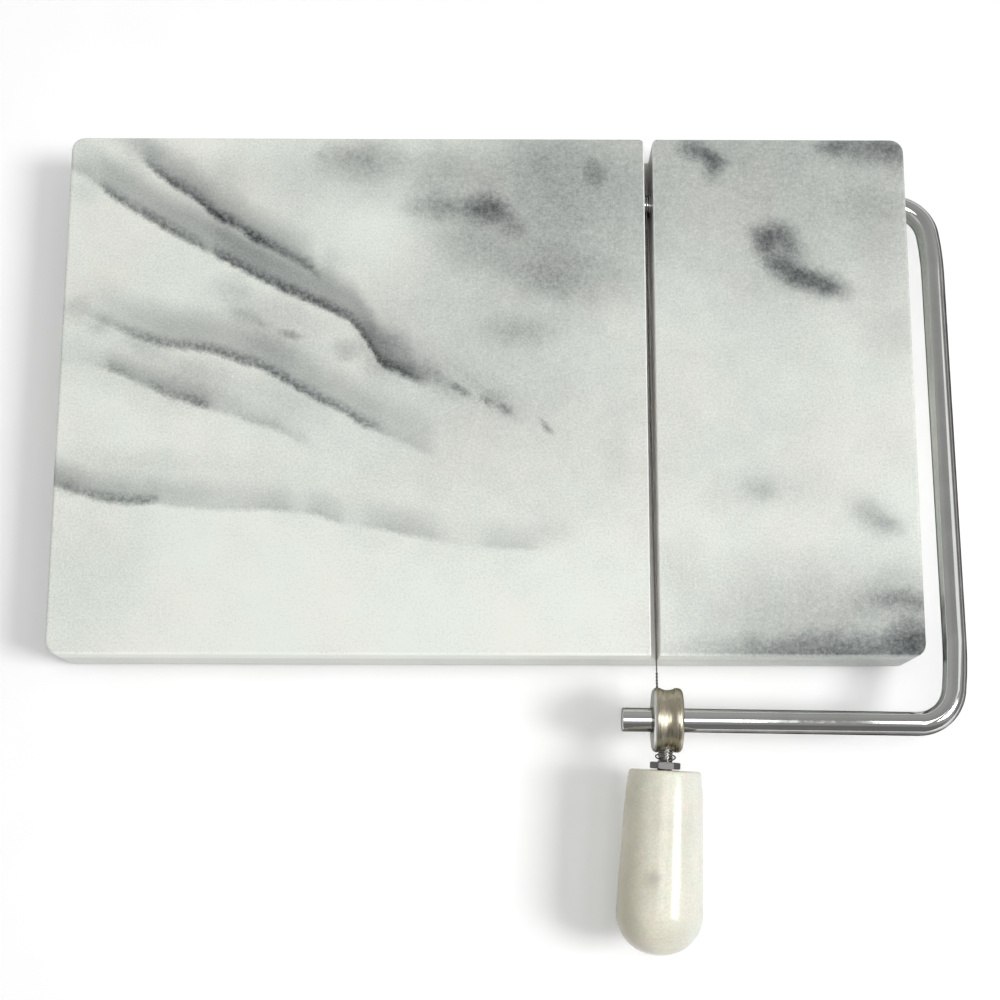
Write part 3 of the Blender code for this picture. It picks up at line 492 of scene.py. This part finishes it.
# painted shade on the handle's left side
CREAM_PAINTED_SHADE = srgb(186, 179, 152)
SHADED_SIDE = (28.0, 36.5)         # x over which the painted shade on the handle's left side goes
SHADED_SIDE_SHARE = 0.9
# painted light on the handle's right side
CREAM_PAINTED_LIGHT = srgb(229, 231, 225)
LIT_SIDE = (40.0, 47.0)          # x over which the painted light on its right side comes
LIT_SIDE_SHARE = 0.6
CREAM_GRAIN = srgb(176, 174, 156)
CREAM_GRAIN_SHARE = 0.42
SMUDGE = (36.9, -113.9, 1.3, 1.5, 20, 0.32)
SMUDGE_GREY = srgb(120, 120, 112)

RUBBER = (srgb(196, 196, 192), srgb(180, 180, 176))


def set_curve(curve, knots):
    """Give one curve of a curve node these (place, value) knots."""
    knots = sorted(knots)
    while len(curve.points) < len(knots):
        curve.points.new(0.5, 0.5)
    for point, knot in zip(curve.points, knots):
        point.location = knot
        point.handle_type = "AUTO_CLAMPED"


def span_share(mm):
    """A place between minus and plus the curves' span, as a share from 0 to 1."""
    return (mm + VEIN_SPAN) / (2 * VEIN_SPAN)


def vein_mask(finish, across, up, beads, vein):
    """Darkness of one vein: its line and its two strengths come from curves over x."""
    width, full_share, slope_share, knots = vein
    knots = [(-VEIN_SPAN, *knots[0][1:])] + knots + [(VEIN_SPAN, *knots[-1][1:])]
    curves = finish.node("ShaderNodeRGBCurve")
    mapping = curves.mapping
    set_curve(mapping.curves[0], [(span_share(knot[0]), span_share(knot[1])) for knot in knots])
    set_curve(mapping.curves[1], [(span_share(knot[0]), knot[2]) for knot in knots])
    set_curve(mapping.curves[2], [(span_share(knot[0]), knot[3]) for knot in knots])
    mapping.update()
    position = finish.ramp(across, -VEIN_SPAN, VEIN_SPAN, kind="LINEAR")
    finish.set(curves.inputs["Color"], position)
    height, line_strength, shade_strength = finish.node(
        "ShaderNodeSeparateColor", {"Color": curves.outputs["Color"]}).outputs
    center = finish.math("MULTIPLY_ADD", height, 2 * VEIN_SPAN, -VEIN_SPAN)
    above = finish.math("MULTIPLY", finish.math("SUBTRACT", up, center), slope_share)
    crisp = finish.ramp(above, *VEIN_EDGE)
    line = finish.product(finish.ramp(above, *VEIN_CORE, 1.0, 0.0), line_strength, beads)
    shade = finish.ramp(above, width * full_share, width, 1.0, 0.0)
    both = finish.math("MULTIPLY_ADD", shade, shade_strength, line)
    return finish.math("MULTIPLY", crisp, both)


def patch_mask(finish, where, patch):
    """Darkness of one soft patch."""
    x, y, half_length, half_width, turn, darkness = patch
    mapping = finish.node(
        "ShaderNodeMapping",
        {"Vector": where, "Location": (x, y, 0.0), "Rotation": (0.0, 0.0, math.radians(turn)),
         "Scale": (half_length * 2, half_width * 2, 1000.0)},
        vector_type="TEXTURE")
    ball = finish.node(
        "ShaderNodeTexGradient", {"Vector": mapping.outputs[0]}, gradient_type="SPHERICAL")
    return finish.ramp(ball.outputs["Fac"], 0.0, 1.0, 0.0, darkness)


def total(finish, masks):
    """The sum of several masks."""
    masks = list(masks)
    result = masks[0]
    for mask in masks[1:]:
        result = finish.math("ADD", result, mask)
    return result


def sawn_dust_and_painted_light(finish, color):
    """Dusty sawn stone in the slot, painted shade towards its rear, a painted highlight along the
    slot's edges and the front rim, and painted shade along the bottom.
    """
    x, y, z = finish.axes(finish.place())
    grain = finish.noise(finish.place(), *SAWN_DUST)
    from_slot = finish.math("ABSOLUTE", finish.math("SUBTRACT", x, SLOT_X))
    inside = finish.math("SUBTRACT", SLAB_DEPTH / 2, finish.math("ABSOLUTE", y))
    sawn = finish.product(
        finish.ramp(from_slot, *SAWN_FROM_SLOT, 1.0, 0.0), finish.ramp(z, *SAWN_DEPTH, 1.0, 0.0),
        finish.ramp(inside, *SAWN_INSIDE_FACES))
    dust_and_shade = finish.mix(finish.ramp(grain, 0.35, 0.65), SAWN_DUST_AND_EDGE_HIGHLIGHT, SAWN_STONE_DULL)
    # painted shade on the sawn faces towards the slot's rear
    dust_and_shade = finish.mix(finish.ramp(y, *SLOT_REAR_PAINTED_SHADE, 0.0, SLOT_REAR_SHADE_SHARE), dust_and_shade, PAINTED_SHADE_STONE)
    color = finish.mix(sawn, color, dust_and_shade)
    # painted highlight along the slot's top edges
    edge_highlight = finish.product(
        finish.ramp(from_slot, *EDGE_HIGHLIGHT_FROM_SLOT, 1.0, 0.0), finish.ramp(z, *EDGE_HIGHLIGHT_DEPTH),
        finish.ramp(grain, 0.30, 0.70, *EDGE_HIGHLIGHT_SHARE))
    color = finish.mix(edge_highlight, color, SAWN_DUST_AND_EDGE_HIGHLIGHT)
    # painted highlight along the front rim
    rim_highlight = finish.product(finish.ramp(y, *RIM_HIGHLIGHT_FRONT, 1.0, 0.0), finish.ramp(z, *RIM_HIGHLIGHT_DEPTH))
    color = finish.mix(rim_highlight, color, RIM_HIGHLIGHT_GAIN, "MULTIPLY")
    # painted shade towards the slab's bottom
    return finish.mix(finish.ramp(z, *LOW_PAINTED_SHADE_DEPTH, LOW_PAINTED_SHADE_SHARE, 0.0), color, PAINTED_SHADE_STONE)


def board_marble():
    """White marble with grey veins that run down to the right, and smoky patches."""
    finish = Finish("board_marble")
    where = finish.place_mm()
    _, depth_way, height = finish.axes(where)
    lean_x, lean_y = (finish.math("MULTIPLY", height, lean) for lean in PATTERN_LEAN)
    lean = finish.node("ShaderNodeCombineXYZ", {0: lean_x, 1: lean_y}).outputs[0]
    where = finish.vector("ADD", where, lean)

    bent = finish.wander(where, where, VEIN_WOBBLE, VEIN_WOBBLE_REACH)
    bent = finish.wander(bent, where, VEIN_FRAY, VEIN_FRAY_REACH)
    across, up, _ = finish.axes(bent)
    beads = finish.ramp(finish.noise(where, *VEIN_BEADS), 0.35, 0.62, *VEIN_BEAD_GAIN)
    veins = total(finish, (vein_mask(finish, across, up, beads, vein) for vein in VEINS.values()))

    cloudy = finish.wander(bent, where, SMOKE_WOBBLE, SMOKE_WOBBLE_REACH)
    smoke = total(finish, (patch_mask(finish, cloudy, patch) for patch in PATCHES))
    mottle = finish.spread(finish.noise(where, *SMOKE_MOTTLE), *SMOKE_MOTTLE_GAIN)
    speckle = finish.spread(finish.noise(where, *SMOKE_SPECKLE), *SMOKE_SPECKLE_GAIN)
    front = finish.ramp(depth_way, *FRONT_FACE_FADE, FRONT_FACE_SHARE, 1.0)
    smoke = finish.product(smoke, mottle, speckle, front)

    fine = finish.noise(where, *STONE_GRAIN)
    grain = finish.ramp(fine, 0.25, 0.75, -STONE_GRAIN_REACH, STONE_GRAIN_REACH, "LINEAR")
    cloud = finish.noise(where, *STONE_CLOUD)
    cloud = finish.spread(cloud, -STONE_CLOUD_REACH, STONE_CLOUD_REACH)
    dark = total(finish, (veins, smoke, grain, cloud))
    clear = finish.math("SUBTRACT", 1.0, dark, clamp=True)
    clear = finish.math("POWER", clear, DISPLAY_GAMMA)
    clear = finish.node("ShaderNodeCombineColor", {
        0: finish.math("POWER", clear, STONE_RED_POWER), 1: clear,
        2: finish.math("POWER", clear, STONE_BLUE_POWER)}).outputs[0]

    tone = finish.noise(where, *STONE_TONE)
    pale = finish.mix(finish.ramp(tone, 0.42, 0.60), *STONE_WHITE)
    warm = finish.noise(finish.vector("ADD", where, STONE_WARM_OFFSET), *STONE_WARMTH)
    pale = finish.mix(finish.ramp(warm, 0.58, 0.78, 0.0, STONE_WARM_SHARE), pale, STONE_WARM)
    # painted shade and painted highlights are laid over the stone here, with the sawn dust
    color = sawn_dust_and_painted_light(finish, finish.mix(1.0, pale, clear, "MULTIPLY"))
    normal = finish.bump(finish.noise(where, *STONE_PITS), PIT_DEPTH, 0.25)
    return finish.finish(
        Base_Color=color, Roughness=finish.spread(fine, *STONE_ROUGH), Normal=normal, IOR=1.48,
        Specular_IOR_Level=0.35)


def handle_marble():
    """Cream polished marble: soft clouds, painted shade on its left side, painted light on its
    right side, grain and one grey smudge.
    """
    finish = Finish("handle_marble")
    place = finish.place_mm()
    bent = finish.wander(place, place, CREAM_WOBBLE, CREAM_WOBBLE_REACH)
    cloud = finish.noise(bent, *CREAM_CLOUD)
    color = finish.mix(finish.ramp(cloud, 0.35, 0.65), *CREAM)
    grey = finish.noise(finish.vector("ADD", bent, CREAM_GREY_OFFSET), *CREAM_CLOUD_GREY)
    color = finish.mix(finish.ramp(grey, 0.58, 0.78, 0.0, CREAM_GREY_SHARE), color, CREAM_GREY)
    color = finish.mix(patch_mask(finish, bent, SMUDGE), color, SMUDGE_GREY)
    across = finish.axes(bent)[0]
    # painted shade on the left side
    left_shade = finish.ramp(across, *SHADED_SIDE, SHADED_SIDE_SHARE, 0.0, "LINEAR")
    color = finish.mix(left_shade, color, CREAM_PAINTED_SHADE)
    # painted light on the right side
    color = finish.mix(finish.ramp(across, *LIT_SIDE, 0.0, LIT_SIDE_SHARE), color, CREAM_PAINTED_LIGHT)
    fine = finish.noise(place, *STONE_GRAIN)
    color = finish.mix(finish.spread(fine, 0.0, CREAM_GRAIN_SHARE), color, CREAM_GRAIN)
    normal = finish.bump(finish.noise(place, *CREAM_POLISH), POLISH_DEPTH, 0.2)
    return finish.finish(
        Base_Color=color, Roughness=finish.spread(fine, *CREAM_ROUGH), Normal=normal, IOR=1.50,
        Specular_IOR_Level=0.45, Subsurface_Weight=STONE_GLOW_SHARE,
        Subsurface_Scale=STONE_GLOW_DEPTH)


def plate(finish, tones, roughness):
    """Colour, drift, roughness and normal of plate with dull smears and hairline marks."""
    place = finish.place()
    drift = finish.noise(place, *PLATE_DRIFT)
    color = finish.mix(finish.ramp(drift, 0.35, 0.68), *tones)
    rough = finish.ramp(finish.noise(place, *PLATE_SMEAR), 0.40, 0.72, *roughness)
    hair = finish.noise(finish.vector("MULTIPLY", place, HAIRLINE_STRETCH), *HAIRLINES)
    return color, drift, rough, finish.bump(hair, HAIRLINE_DEPTH, 0.35)


def plated_metal(name, tones, roughness, edge):
    """Plate of one pair of tones all over; edge is its tint where it is seen at a slant."""
    finish = Finish(name)
    color, _, rough, normal = plate(finish, tones, roughness)
    return finish.finish(
        Base_Color=color, Roughness=rough, Normal=normal, Metallic=1.0, Specular_Tint=(edge,) * 3)


def rod_chrome():
    """Bright chrome with a painted dark reflection on the sides of the bow that face right and to
    the front.
    """
    finish = Finish("rod_chrome")
    color, drift, rough, normal = plate(finish, CHROME, CHROME_ROUGH)
    right, front, _ = finish.axes(finish.node("ShaderNodeTexCoord").outputs["Normal"])
    # painted dark reflection on the sides that face right and to the front
    dark_reflection = finish.math(
        "MAXIMUM", finish.ramp(right, *DARK_REFLECTION_RIGHT), finish.ramp(front, *DARK_REFLECTION_FRONT, 1.0, 0.0))
    dark_reflection = finish.math("MULTIPLY", dark_reflection, finish.ramp(drift, 0.30, 0.55, *DARK_REFLECTION_SHARE))
    color = finish.mix(dark_reflection, color, CHROME_PAINTED_REFLECTION)
    return finish.finish(
        Base_Color=color, Roughness=rough, Normal=normal, Metallic=1.0, Specular_Tint=(0.12,) * 3)


def wire_steel():
    """Drawn steel, with painted shade that darkens it from the slot's mouth to the front eye."""
    finish = Finish("wire_steel")
    place = finish.place()
    drift = finish.noise(place, *WIRE_DRIFT)
    color = finish.mix(finish.ramp(drift, 0.35, 0.68), *WIRE_STEEL)
    # painted shade from the slab's front face forwards
    wire_shade = finish.ramp(finish.axes(place)[1], *WIRE_SHADE_BACK, WIRE_SHADE_SHARE, 0.0)
    color = finish.mix(wire_shade, color, WIRE_PAINTED_SHADE)
    rough = finish.ramp(drift, 0.30, 0.70, *WIRE_ROUGH)
    return finish.finish(
        Base_Color=color, Roughness=rough, Normal=finish.bump(drift, WIRE_DRAWN_DEPTH, 0.3),
        Metallic=1.0, Specular_Tint=(0.3,) * 3)


def turned_nickel():
    """Warm nickel plate with turned rings round the collar and a painted highlight on its left flat
    side.
    """
    finish = Finish("collar_nickel")
    place = finish.place()
    across = finish.math("SUBTRACT", finish.axes(place)[0], COLLAR_X)
    drift = finish.noise(place, *PLATE_DRIFT)
    color = finish.mix(finish.ramp(drift, 0.35, 0.68), *NICKEL)
    stripe = finish.node(
        "ShaderNodeCombineXYZ", {0: finish.math("MULTIPLY", across, RING_SCALE)}).outputs[0]
    warp = finish.vector("MULTIPLY", place, RING_WARP)
    rings = finish.noise(finish.vector("ADD", stripe, warp), *COLLAR_RINGS)
    color = finish.mix(finish.ramp(rings, 0.50, 0.72, 0.0, RING_SHARE), color, NICKEL_RING)
    # painted highlight on the left flat side
    side = finish.ramp(finish.math("MULTIPLY", across, -1.0), *FLAT_HIGHLIGHT_RANGE)
    color = finish.mix(finish.math("MULTIPLY", side, FLAT_HIGHLIGHT_SHARE), color, NICKEL_PAINTED_HIGHLIGHT)
    rough = finish.ramp(rings, 0.35, 0.65, *NICKEL_ROUGH)
    return finish.finish(
        Base_Color=color, Roughness=rough, Normal=finish.bump(rings, RING_DEPTH, 0.5),
        Metallic=1.0, Specular_Tint=(0.25,) * 3)


def foot_rubber():
    """Matt grey rubber with a fine moulded grain."""
    finish = Finish("foot_rubber_finish")
    place = finish.place()
    mottled = finish.noise(place, *RUBBER_MOTTLE)
    color = finish.mix(finish.ramp(mottled, 0.3, 0.7), *RUBBER)
    grain = finish.noise(place, *RUBBER_GRAIN)
    return finish.finish(
        Base_Color=color, Roughness=finish.spread(grain, *RUBBER_ROUGH),
        Normal=finish.bump(grain, RUBBER_GRAIN_DEPTH, 0.4), Specular_IOR_Level=0.3)


def soften(obj, angle):
    """Smooth shading across shallow edges, left to modifiers so that the mesh stays as it is."""
    group = bpy.data.node_groups.new("soften_" + obj.name, "GeometryNodeTree")
    for in_out in ("INPUT", "OUTPUT"):
        group.interface.new_socket("Geometry", in_out=in_out, socket_type="NodeSocketGeometry")
    nodes, links = group.nodes, group.links
    start, end = nodes.new("NodeGroupInput"), nodes.new("NodeGroupOutput")
    weld = nodes.new("GeometryNodeMergeByDistance")
    weld.inputs["Distance"].default_value = WELD_DISTANCE
    faces = nodes.new("GeometryNodeSetShadeSmooth")
    faces.domain = "FACE"
    faces.inputs["Shade Smooth"].default_value = True
    edges = nodes.new("GeometryNodeSetShadeSmooth")
    edges.domain = "EDGE"
    edge_angle = nodes.new("GeometryNodeInputMeshEdgeAngle")
    compare = nodes.new("FunctionNodeCompare")
    compare.data_type = "FLOAT"
    compare.operation = "LESS_EQUAL"
    compare.inputs["B"].default_value = angle
    links.new(start.outputs[0], weld.inputs["Geometry"])
    links.new(weld.outputs["Geometry"], faces.inputs["Geometry"])
    links.new(faces.outputs["Geometry"], edges.inputs["Geometry"])
    links.new(edge_angle.outputs["Unsigned Angle"], compare.inputs["A"])
    links.new(compare.outputs["Result"], edges.inputs["Shade Smooth"])
    links.new(edges.outputs["Geometry"], end.inputs[0])
    modifier = obj.modifiers.new("soften", "NODES")
    modifier.node_group = group
    even = obj.modifiers.new("even_normals", "WEIGHTED_NORMAL")
    even.mode = "FACE_AREA"
    even.weight = NORMAL_WEIGHT
    even.keep_sharp = True


def dress(name, material, angle=SMOOTH_ANGLE):
    """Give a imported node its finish."""
    obj = frame["nodes"][name]
    obj.data.materials.clear()
    obj.data.materials.append(material)
    soften(obj, angle)


def add_piece(name, mesh, material, body, replaced):
    """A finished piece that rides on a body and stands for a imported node."""
    mesh.materials.append(material)
    obj = bpy.data.objects.new(name, mesh)
    bpy.context.scene.collection.objects.link(obj)
    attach(obj, body)
    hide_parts(replaced)


# Wire: real twisted ends and an eye at each end

def tube(name, runs):
    """One mesh of round tubes; each run is a list of (point, radius)."""
    bm = bmesh.new()
    for run in runs:
        curve = bpy.data.curves.new(name, "CURVE")
        curve.dimensions = "3D"
        largest = max(radius for _, radius in run)
        curve.bevel_depth = largest
        curve.bevel_resolution = TUBE_SIDES_STEPS
        curve.use_fill_caps = True
        spline = curve.splines.new("POLY")
        spline.points.add(len(run) - 1)
        for knot, (point, radius) in zip(spline.points, run):
            knot.co = (*point, 1.0)
            knot.radius = radius / largest
        holder = bpy.data.objects.new(name, curve)
        bpy.context.scene.collection.objects.link(holder)
        graph = bpy.context.evaluated_depsgraph_get()
        mesh = bpy.data.meshes.new_from_object(holder.evaluated_get(graph))
        bpy.data.objects.remove(holder, do_unlink=True)
        bm.from_mesh(mesh)
        bpy.data.meshes.remove(mesh)
    mesh = bpy.data.meshes.new(name)
    bm.to_mesh(mesh)
    bm.free()
    mesh.shade_smooth()
    mesh.set_sharp_from_angle(angle=WIRE_SHARP_ANGLE)
    return mesh


def eye_loop(center, toward, across, radius, throat):
    """An open eye in the plane of two unit vectors, and the point where its sides meet."""
    opening = math.acos(radius / throat)
    sweep = 2 * math.pi - 2 * opening
    loop = []
    for i in range(EYE_STEPS + 1):
        angle = opening + sweep * i / EYE_STEPS
        loop.append(center + radius * (toward * math.cos(angle) + across * math.sin(angle)))
    return loop, center + toward * throat


def wrap_point(angle, offset):
    """A point of the wire's middle on the collar's underside; the angle is 0 straight below."""
    spoke = BOW_FORWARD * math.sin(angle) + Vector((0.0, 0.0, -1.0)) * math.cos(angle)
    return COLLAR_CENTER + spoke * WRAP_RADIUS + BOW_LEG * offset


def twisted(points, phase):
    """One strand of a twisted pair that follows a polyline."""
    strand = []
    run = 0.0
    reach = TWIST_RADIUS - STRAND_RADIUS
    for i, point in enumerate(points):
        before = points[max(i - 1, 0)]
        after = points[min(i + 1, len(points) - 1)]
        along = (after - before).normalized()
        side = along.cross(Vector((1.0, 0.0, 0.0))).normalized()
        over = along.cross(side)
        if i:
            run += (point - before).length
        angle = phase + 2 * math.pi * run / STRAND_PITCH
        around = side * math.cos(angle) + over * math.sin(angle)
        strand.append((point + reach * around, STRAND_RADIUS))
    return strand


def filled(points, step):
    """The polyline through the points, with a point at least every step."""
    dense = [points[0]]
    for a, b in zip(points, points[1:]):
        count = max(1, math.ceil((b - a).length / step))
        dense += [a.lerp(b, i / count) for i in range(1, count + 1)]
    return dense


def build_wire(steel):
    """The taut wire: rear eye in the rod's groove, plain run, wrap under the collar, front eye."""
    rear = Vector((SLOT_X, 0.0, 0.0))
    room = SLOT_KERF / 2 - WIRE_RADIUS - WIRE_SIDE_GAP
    first_offset = SLOT_X + room * BOW_REACH / SLOT_LENGTH_TO_HINGE - COLLAR_X
    touch = wrap_point(-WIRE_DIP, first_offset)
    along = (touch - rear).normalized()
    up = Vector((0.0, 0.0, 1.0))
    across = (up - along * up.dot(along)).normalized()
    rear_radius = ROD_RADIUS - WIRE_GROOVE_DEPTH + TOUCH_GAP + WIRE_RADIUS
    rear_loop, rear_throat = eye_loop(rear, along, across, rear_radius, rear_radius + REAR_EYE_NECK)
    step = STRAND_PITCH / STRAND_STEPS
    rear_twist = filled([rear_throat, rear_throat + along * TWIST_REAR], step)

    sideways, upward, outward = STUD_TURN.col
    lift = outward * math.sin(EYE_TILT) + upward * math.cos(EYE_TILT)
    eye_center = COLLAR_CENTER + outward * (WRAP_RADIUS / math.cos(EYE_TILT))
    front_loop, front_throat = eye_loop(
        eye_center, -lift, sideways, EYE_RADIUS, EYE_RADIUS + FRONT_EYE_NECK)
    last_offset = (front_throat - COLLAR_CENTER).dot(BOW_LEG)
    last_angle = math.pi / 2 - STUD_DROP - EYE_TILT
    wrap = []
    for i in range(WRAP_STEPS + 1):
        share = i / WRAP_STEPS
        wrap.append(wrap_point(-WIRE_DIP + (last_angle + WIRE_DIP) * share,
                               first_offset + (last_offset - first_offset) * share))
    front_twist = filled([touch - along * TWIST_FRONT] + wrap + [front_throat], step)

    plain = [(rear_twist[-1] + along * PLAIN_FADE, WIRE_RADIUS),
             (front_twist[0] - along * PLAIN_FADE, WIRE_RADIUS)]
    main_strand = [(point, EYE_WIRE_RADIUS) for point in rear_loop]
    main_strand += twisted(rear_twist, 0.0) + plain + twisted(front_twist, 0.0)
    main_strand += [(point, EYE_WIRE_RADIUS) for point in front_loop]
    rear_tail = [(rear_loop[0], EYE_WIRE_RADIUS)] + twisted(rear_twist, math.pi)
    front_tail = twisted(front_twist, math.pi) + [(front_loop[-1], EYE_WIRE_RADIUS)]
    mesh = tube("slicing_wire", [main_strand, rear_tail, front_tail])
    mesh.transform(BOW_FRAME)
    add_piece("slicing_wire", mesh, steel, "bow", "cutting_wire")


def build_stud(steel):
    """The clamp stud with its real thread."""
    start = ROD_RADIUS + TOUCH_GAP
    rows = int(STUD_LENGTH / THREAD_PITCH * THREAD_ROWS)
    bm = bmesh.new()
    rings = []
    for row in range(rows + 1):
        z = STUD_LENGTH * row / rows
        limit = STUD_RADIUS - max(0.0, STUD_CHAMFER - z, z - (STUD_LENGTH - STUD_CHAMFER))
        ring = []
        for side in range(STUD_SIDES):
            angle = 2 * math.pi * side / STUD_SIDES
            turn = (z / THREAD_PITCH + side / STUD_SIDES) % 1.0
            groove = 1.0 - min(1.0, abs(turn - 0.5) * THREAD_FLANK)
            radius = min(limit, STUD_RADIUS - THREAD_DEPTH * groove)
            ring.append(
                bm.verts.new((radius * math.cos(angle), radius * math.sin(angle), start + z)))
        rings.append(ring)
    for lower, upper in zip(rings, rings[1:]):
        for side in range(STUD_SIDES):
            after = (side + 1) % STUD_SIDES
            bm.faces.new((lower[side], lower[after], upper[after], upper[side]))
    bm.faces.new(list(reversed(rings[0])))
    bm.faces.new(rings[-1])
    mesh = bpy.data.meshes.new("threaded_stud")
    bm.to_mesh(mesh)
    bm.free()
    mesh.shade_smooth()
    mesh.set_sharp_from_angle(angle=STUD_SHARP_ANGLE)
    mesh.transform(STUD_FRAME)
    add_piece("threaded_stud", mesh, steel, "handle", "clamp_stud")


# Studio

def floor_finish():
    """Pale seamless paper, plain white to the camera and to mirrors far from the board."""
    finish = Finish("studio_floor")
    place = finish.place()
    fibre = finish.noise(place, *PAPER_FIBRE)
    color = finish.mix(finish.ramp(fibre, 0.3, 0.7), *PAPER)
    path = finish.node("ShaderNodeLightPath").outputs
    away = finish.node("ShaderNodeVectorMath", {0: place}, operation="LENGTH").outputs["Value"]
    seen = finish.math("MAXIMUM", path["Is Camera Ray"], path["Is Glossy Ray"])
    seen = finish.math("MAXIMUM", seen, path["Is Transmission Ray"])
    glow = finish.math("MULTIPLY", seen, finish.ramp(away, GLOW_NEAR, GLOW_FAR, FLOOR_GLOW, 1.0))
    return finish.finish(
        Base_Color=color, Roughness=PAPER_ROUGH, Specular_IOR_Level=0.0,
        Emission_Color=(1.0, 1.0, 1.0), Emission_Strength=glow)


def build_floor():
    """A wide floor under the feet."""
    bm = bmesh.new()
    bmesh.ops.create_circle(bm, cap_ends=True, radius=FLOOR_RADIUS, segments=FLOOR_SEGMENTS)
    mesh = bpy.data.meshes.new("studio_floor")
    bm.to_mesh(mesh)
    bm.free()
    mesh.materials.append(floor_finish())
    floor = bpy.data.objects.new("studio_floor", mesh)
    bpy.context.scene.collection.objects.link(floor)
    floor.location = (0.0, 0.0, CAD_BOUNDS[0][2] - FLOOR_DROP)


def add_lamp(name, place, target, size_x, size_y, power):
    """A soft rectangular lamp that faces a point."""
    light = bpy.data.lights.new(name, "AREA")
    light.shape = "RECTANGLE"
    light.size = size_x
    light.size_y = size_y
    light.energy = power
    lamp = bpy.data.objects.new(name, light)
    bpy.context.scene.collection.objects.link(lamp)
    lamp.location = place
    lamp.rotation_euler = (Vector(place) - Vector(target)).to_track_quat("Z", "Y").to_euler()


def build_world():
    """A grey room, darker at the front and the right, white behind and white to the camera."""
    world = bpy.data.worlds.new("studio")
    bpy.context.scene.world = world
    world.use_nodes = True
    tree = world.node_tree
    background = tree.nodes["Background"]
    where = tree.nodes.new("ShaderNodeTexCoord")
    parts = tree.nodes.new("ShaderNodeSeparateXYZ")
    tree.links.new(where.outputs["Generated"], parts.inputs[0])

    def step(axis, low, high, to_low, to_high):
        node = tree.nodes.new("ShaderNodeMapRange")
        node.interpolation_type = "SMOOTHSTEP"
        tree.links.new(parts.outputs[axis], node.inputs["Value"])
        values = {"From Min": low, "From Max": high, "To Min": to_low, "To Max": to_high}
        for name, value in values.items():
            node.inputs[name].default_value = value
        return node.outputs["Result"]

    def join(operation, a, b):
        node = tree.nodes.new("ShaderNodeMath")
        node.operation = operation
        tree.links.new(a, node.inputs[0])
        tree.links.new(b, node.inputs[1])
        return node.outputs[0]

    room = join("MULTIPLY", step(*ROOM_FRONT), step(*ROOM_RIGHT))
    room = join("MULTIPLY", room, step(*ROOM_HEIGHT))
    behind = join("MULTIPLY", step(*WHITE_BEHIND), step(*WHITE_NOT_RIGHT))
    level = join("MAXIMUM", room, join("MULTIPLY", behind, step(*WHITE_LOW)))
    path = tree.nodes.new("ShaderNodeLightPath")
    level = join("MAXIMUM", level, path.outputs["Is Camera Ray"])
    color = tree.nodes.new("ShaderNodeCombineColor")
    for channel in range(3):
        tree.links.new(level, color.inputs[channel])
    tree.links.new(color.outputs[0], background.inputs["Color"])
    background.inputs["Strength"].default_value = 1.0


def build_camera():
    """The photograph's camera."""
    data = bpy.data.cameras.new("photo_camera")
    data.lens = CAMERA_LENS_MM
    data.sensor_width = SENSOR_MM
    data.sensor_fit = "HORIZONTAL"
    data.clip_start = CAMERA_CLIP_START
    camera = bpy.data.objects.new("photo_camera", data)
    bpy.context.scene.collection.objects.link(camera)
    camera.matrix_world = (
        Matrix.Translation(CAMERA_PLACE) @ Matrix.Rotation(CAMERA_TILT, 4, "X")
        @ Matrix.Rotation(CAMERA_ROLL, 4, "Z"))
    bpy.context.scene.camera = camera


def main():
    """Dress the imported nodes, and build the wire, the stud and the studio."""
    build_camera()
    dress("marble_board", board_marble())
    dress("marble_handle", handle_marble())
    dress("bow_rod", rod_chrome())
    dress("wire_collar", turned_nickel())
    dress("handle_nut", plated_metal("nut_steel", NUT_STEEL, NUT_ROUGH, 0.3), NUT_SMOOTH_ANGLE)
    dress("handle_insert", plated_metal("sleeve_brass", BRASS, BRASS_ROUGH, 0.5))
    rubber = foot_rubber()
    for name in ("foot_front_left", "foot_front_right", "foot_rear_left", "foot_rear_right"):
        dress(name, rubber)
    build_wire(wire_steel())
    build_stud(plated_metal("bright_steel", STUD_STEEL, STUD_ROUGH, 0.3))
    build_floor()
    build_world()
    for lamp in LAMPS:
        add_lamp(*lamp)
    bpy.context.scene.view_settings.view_transform = "Standard"


main()
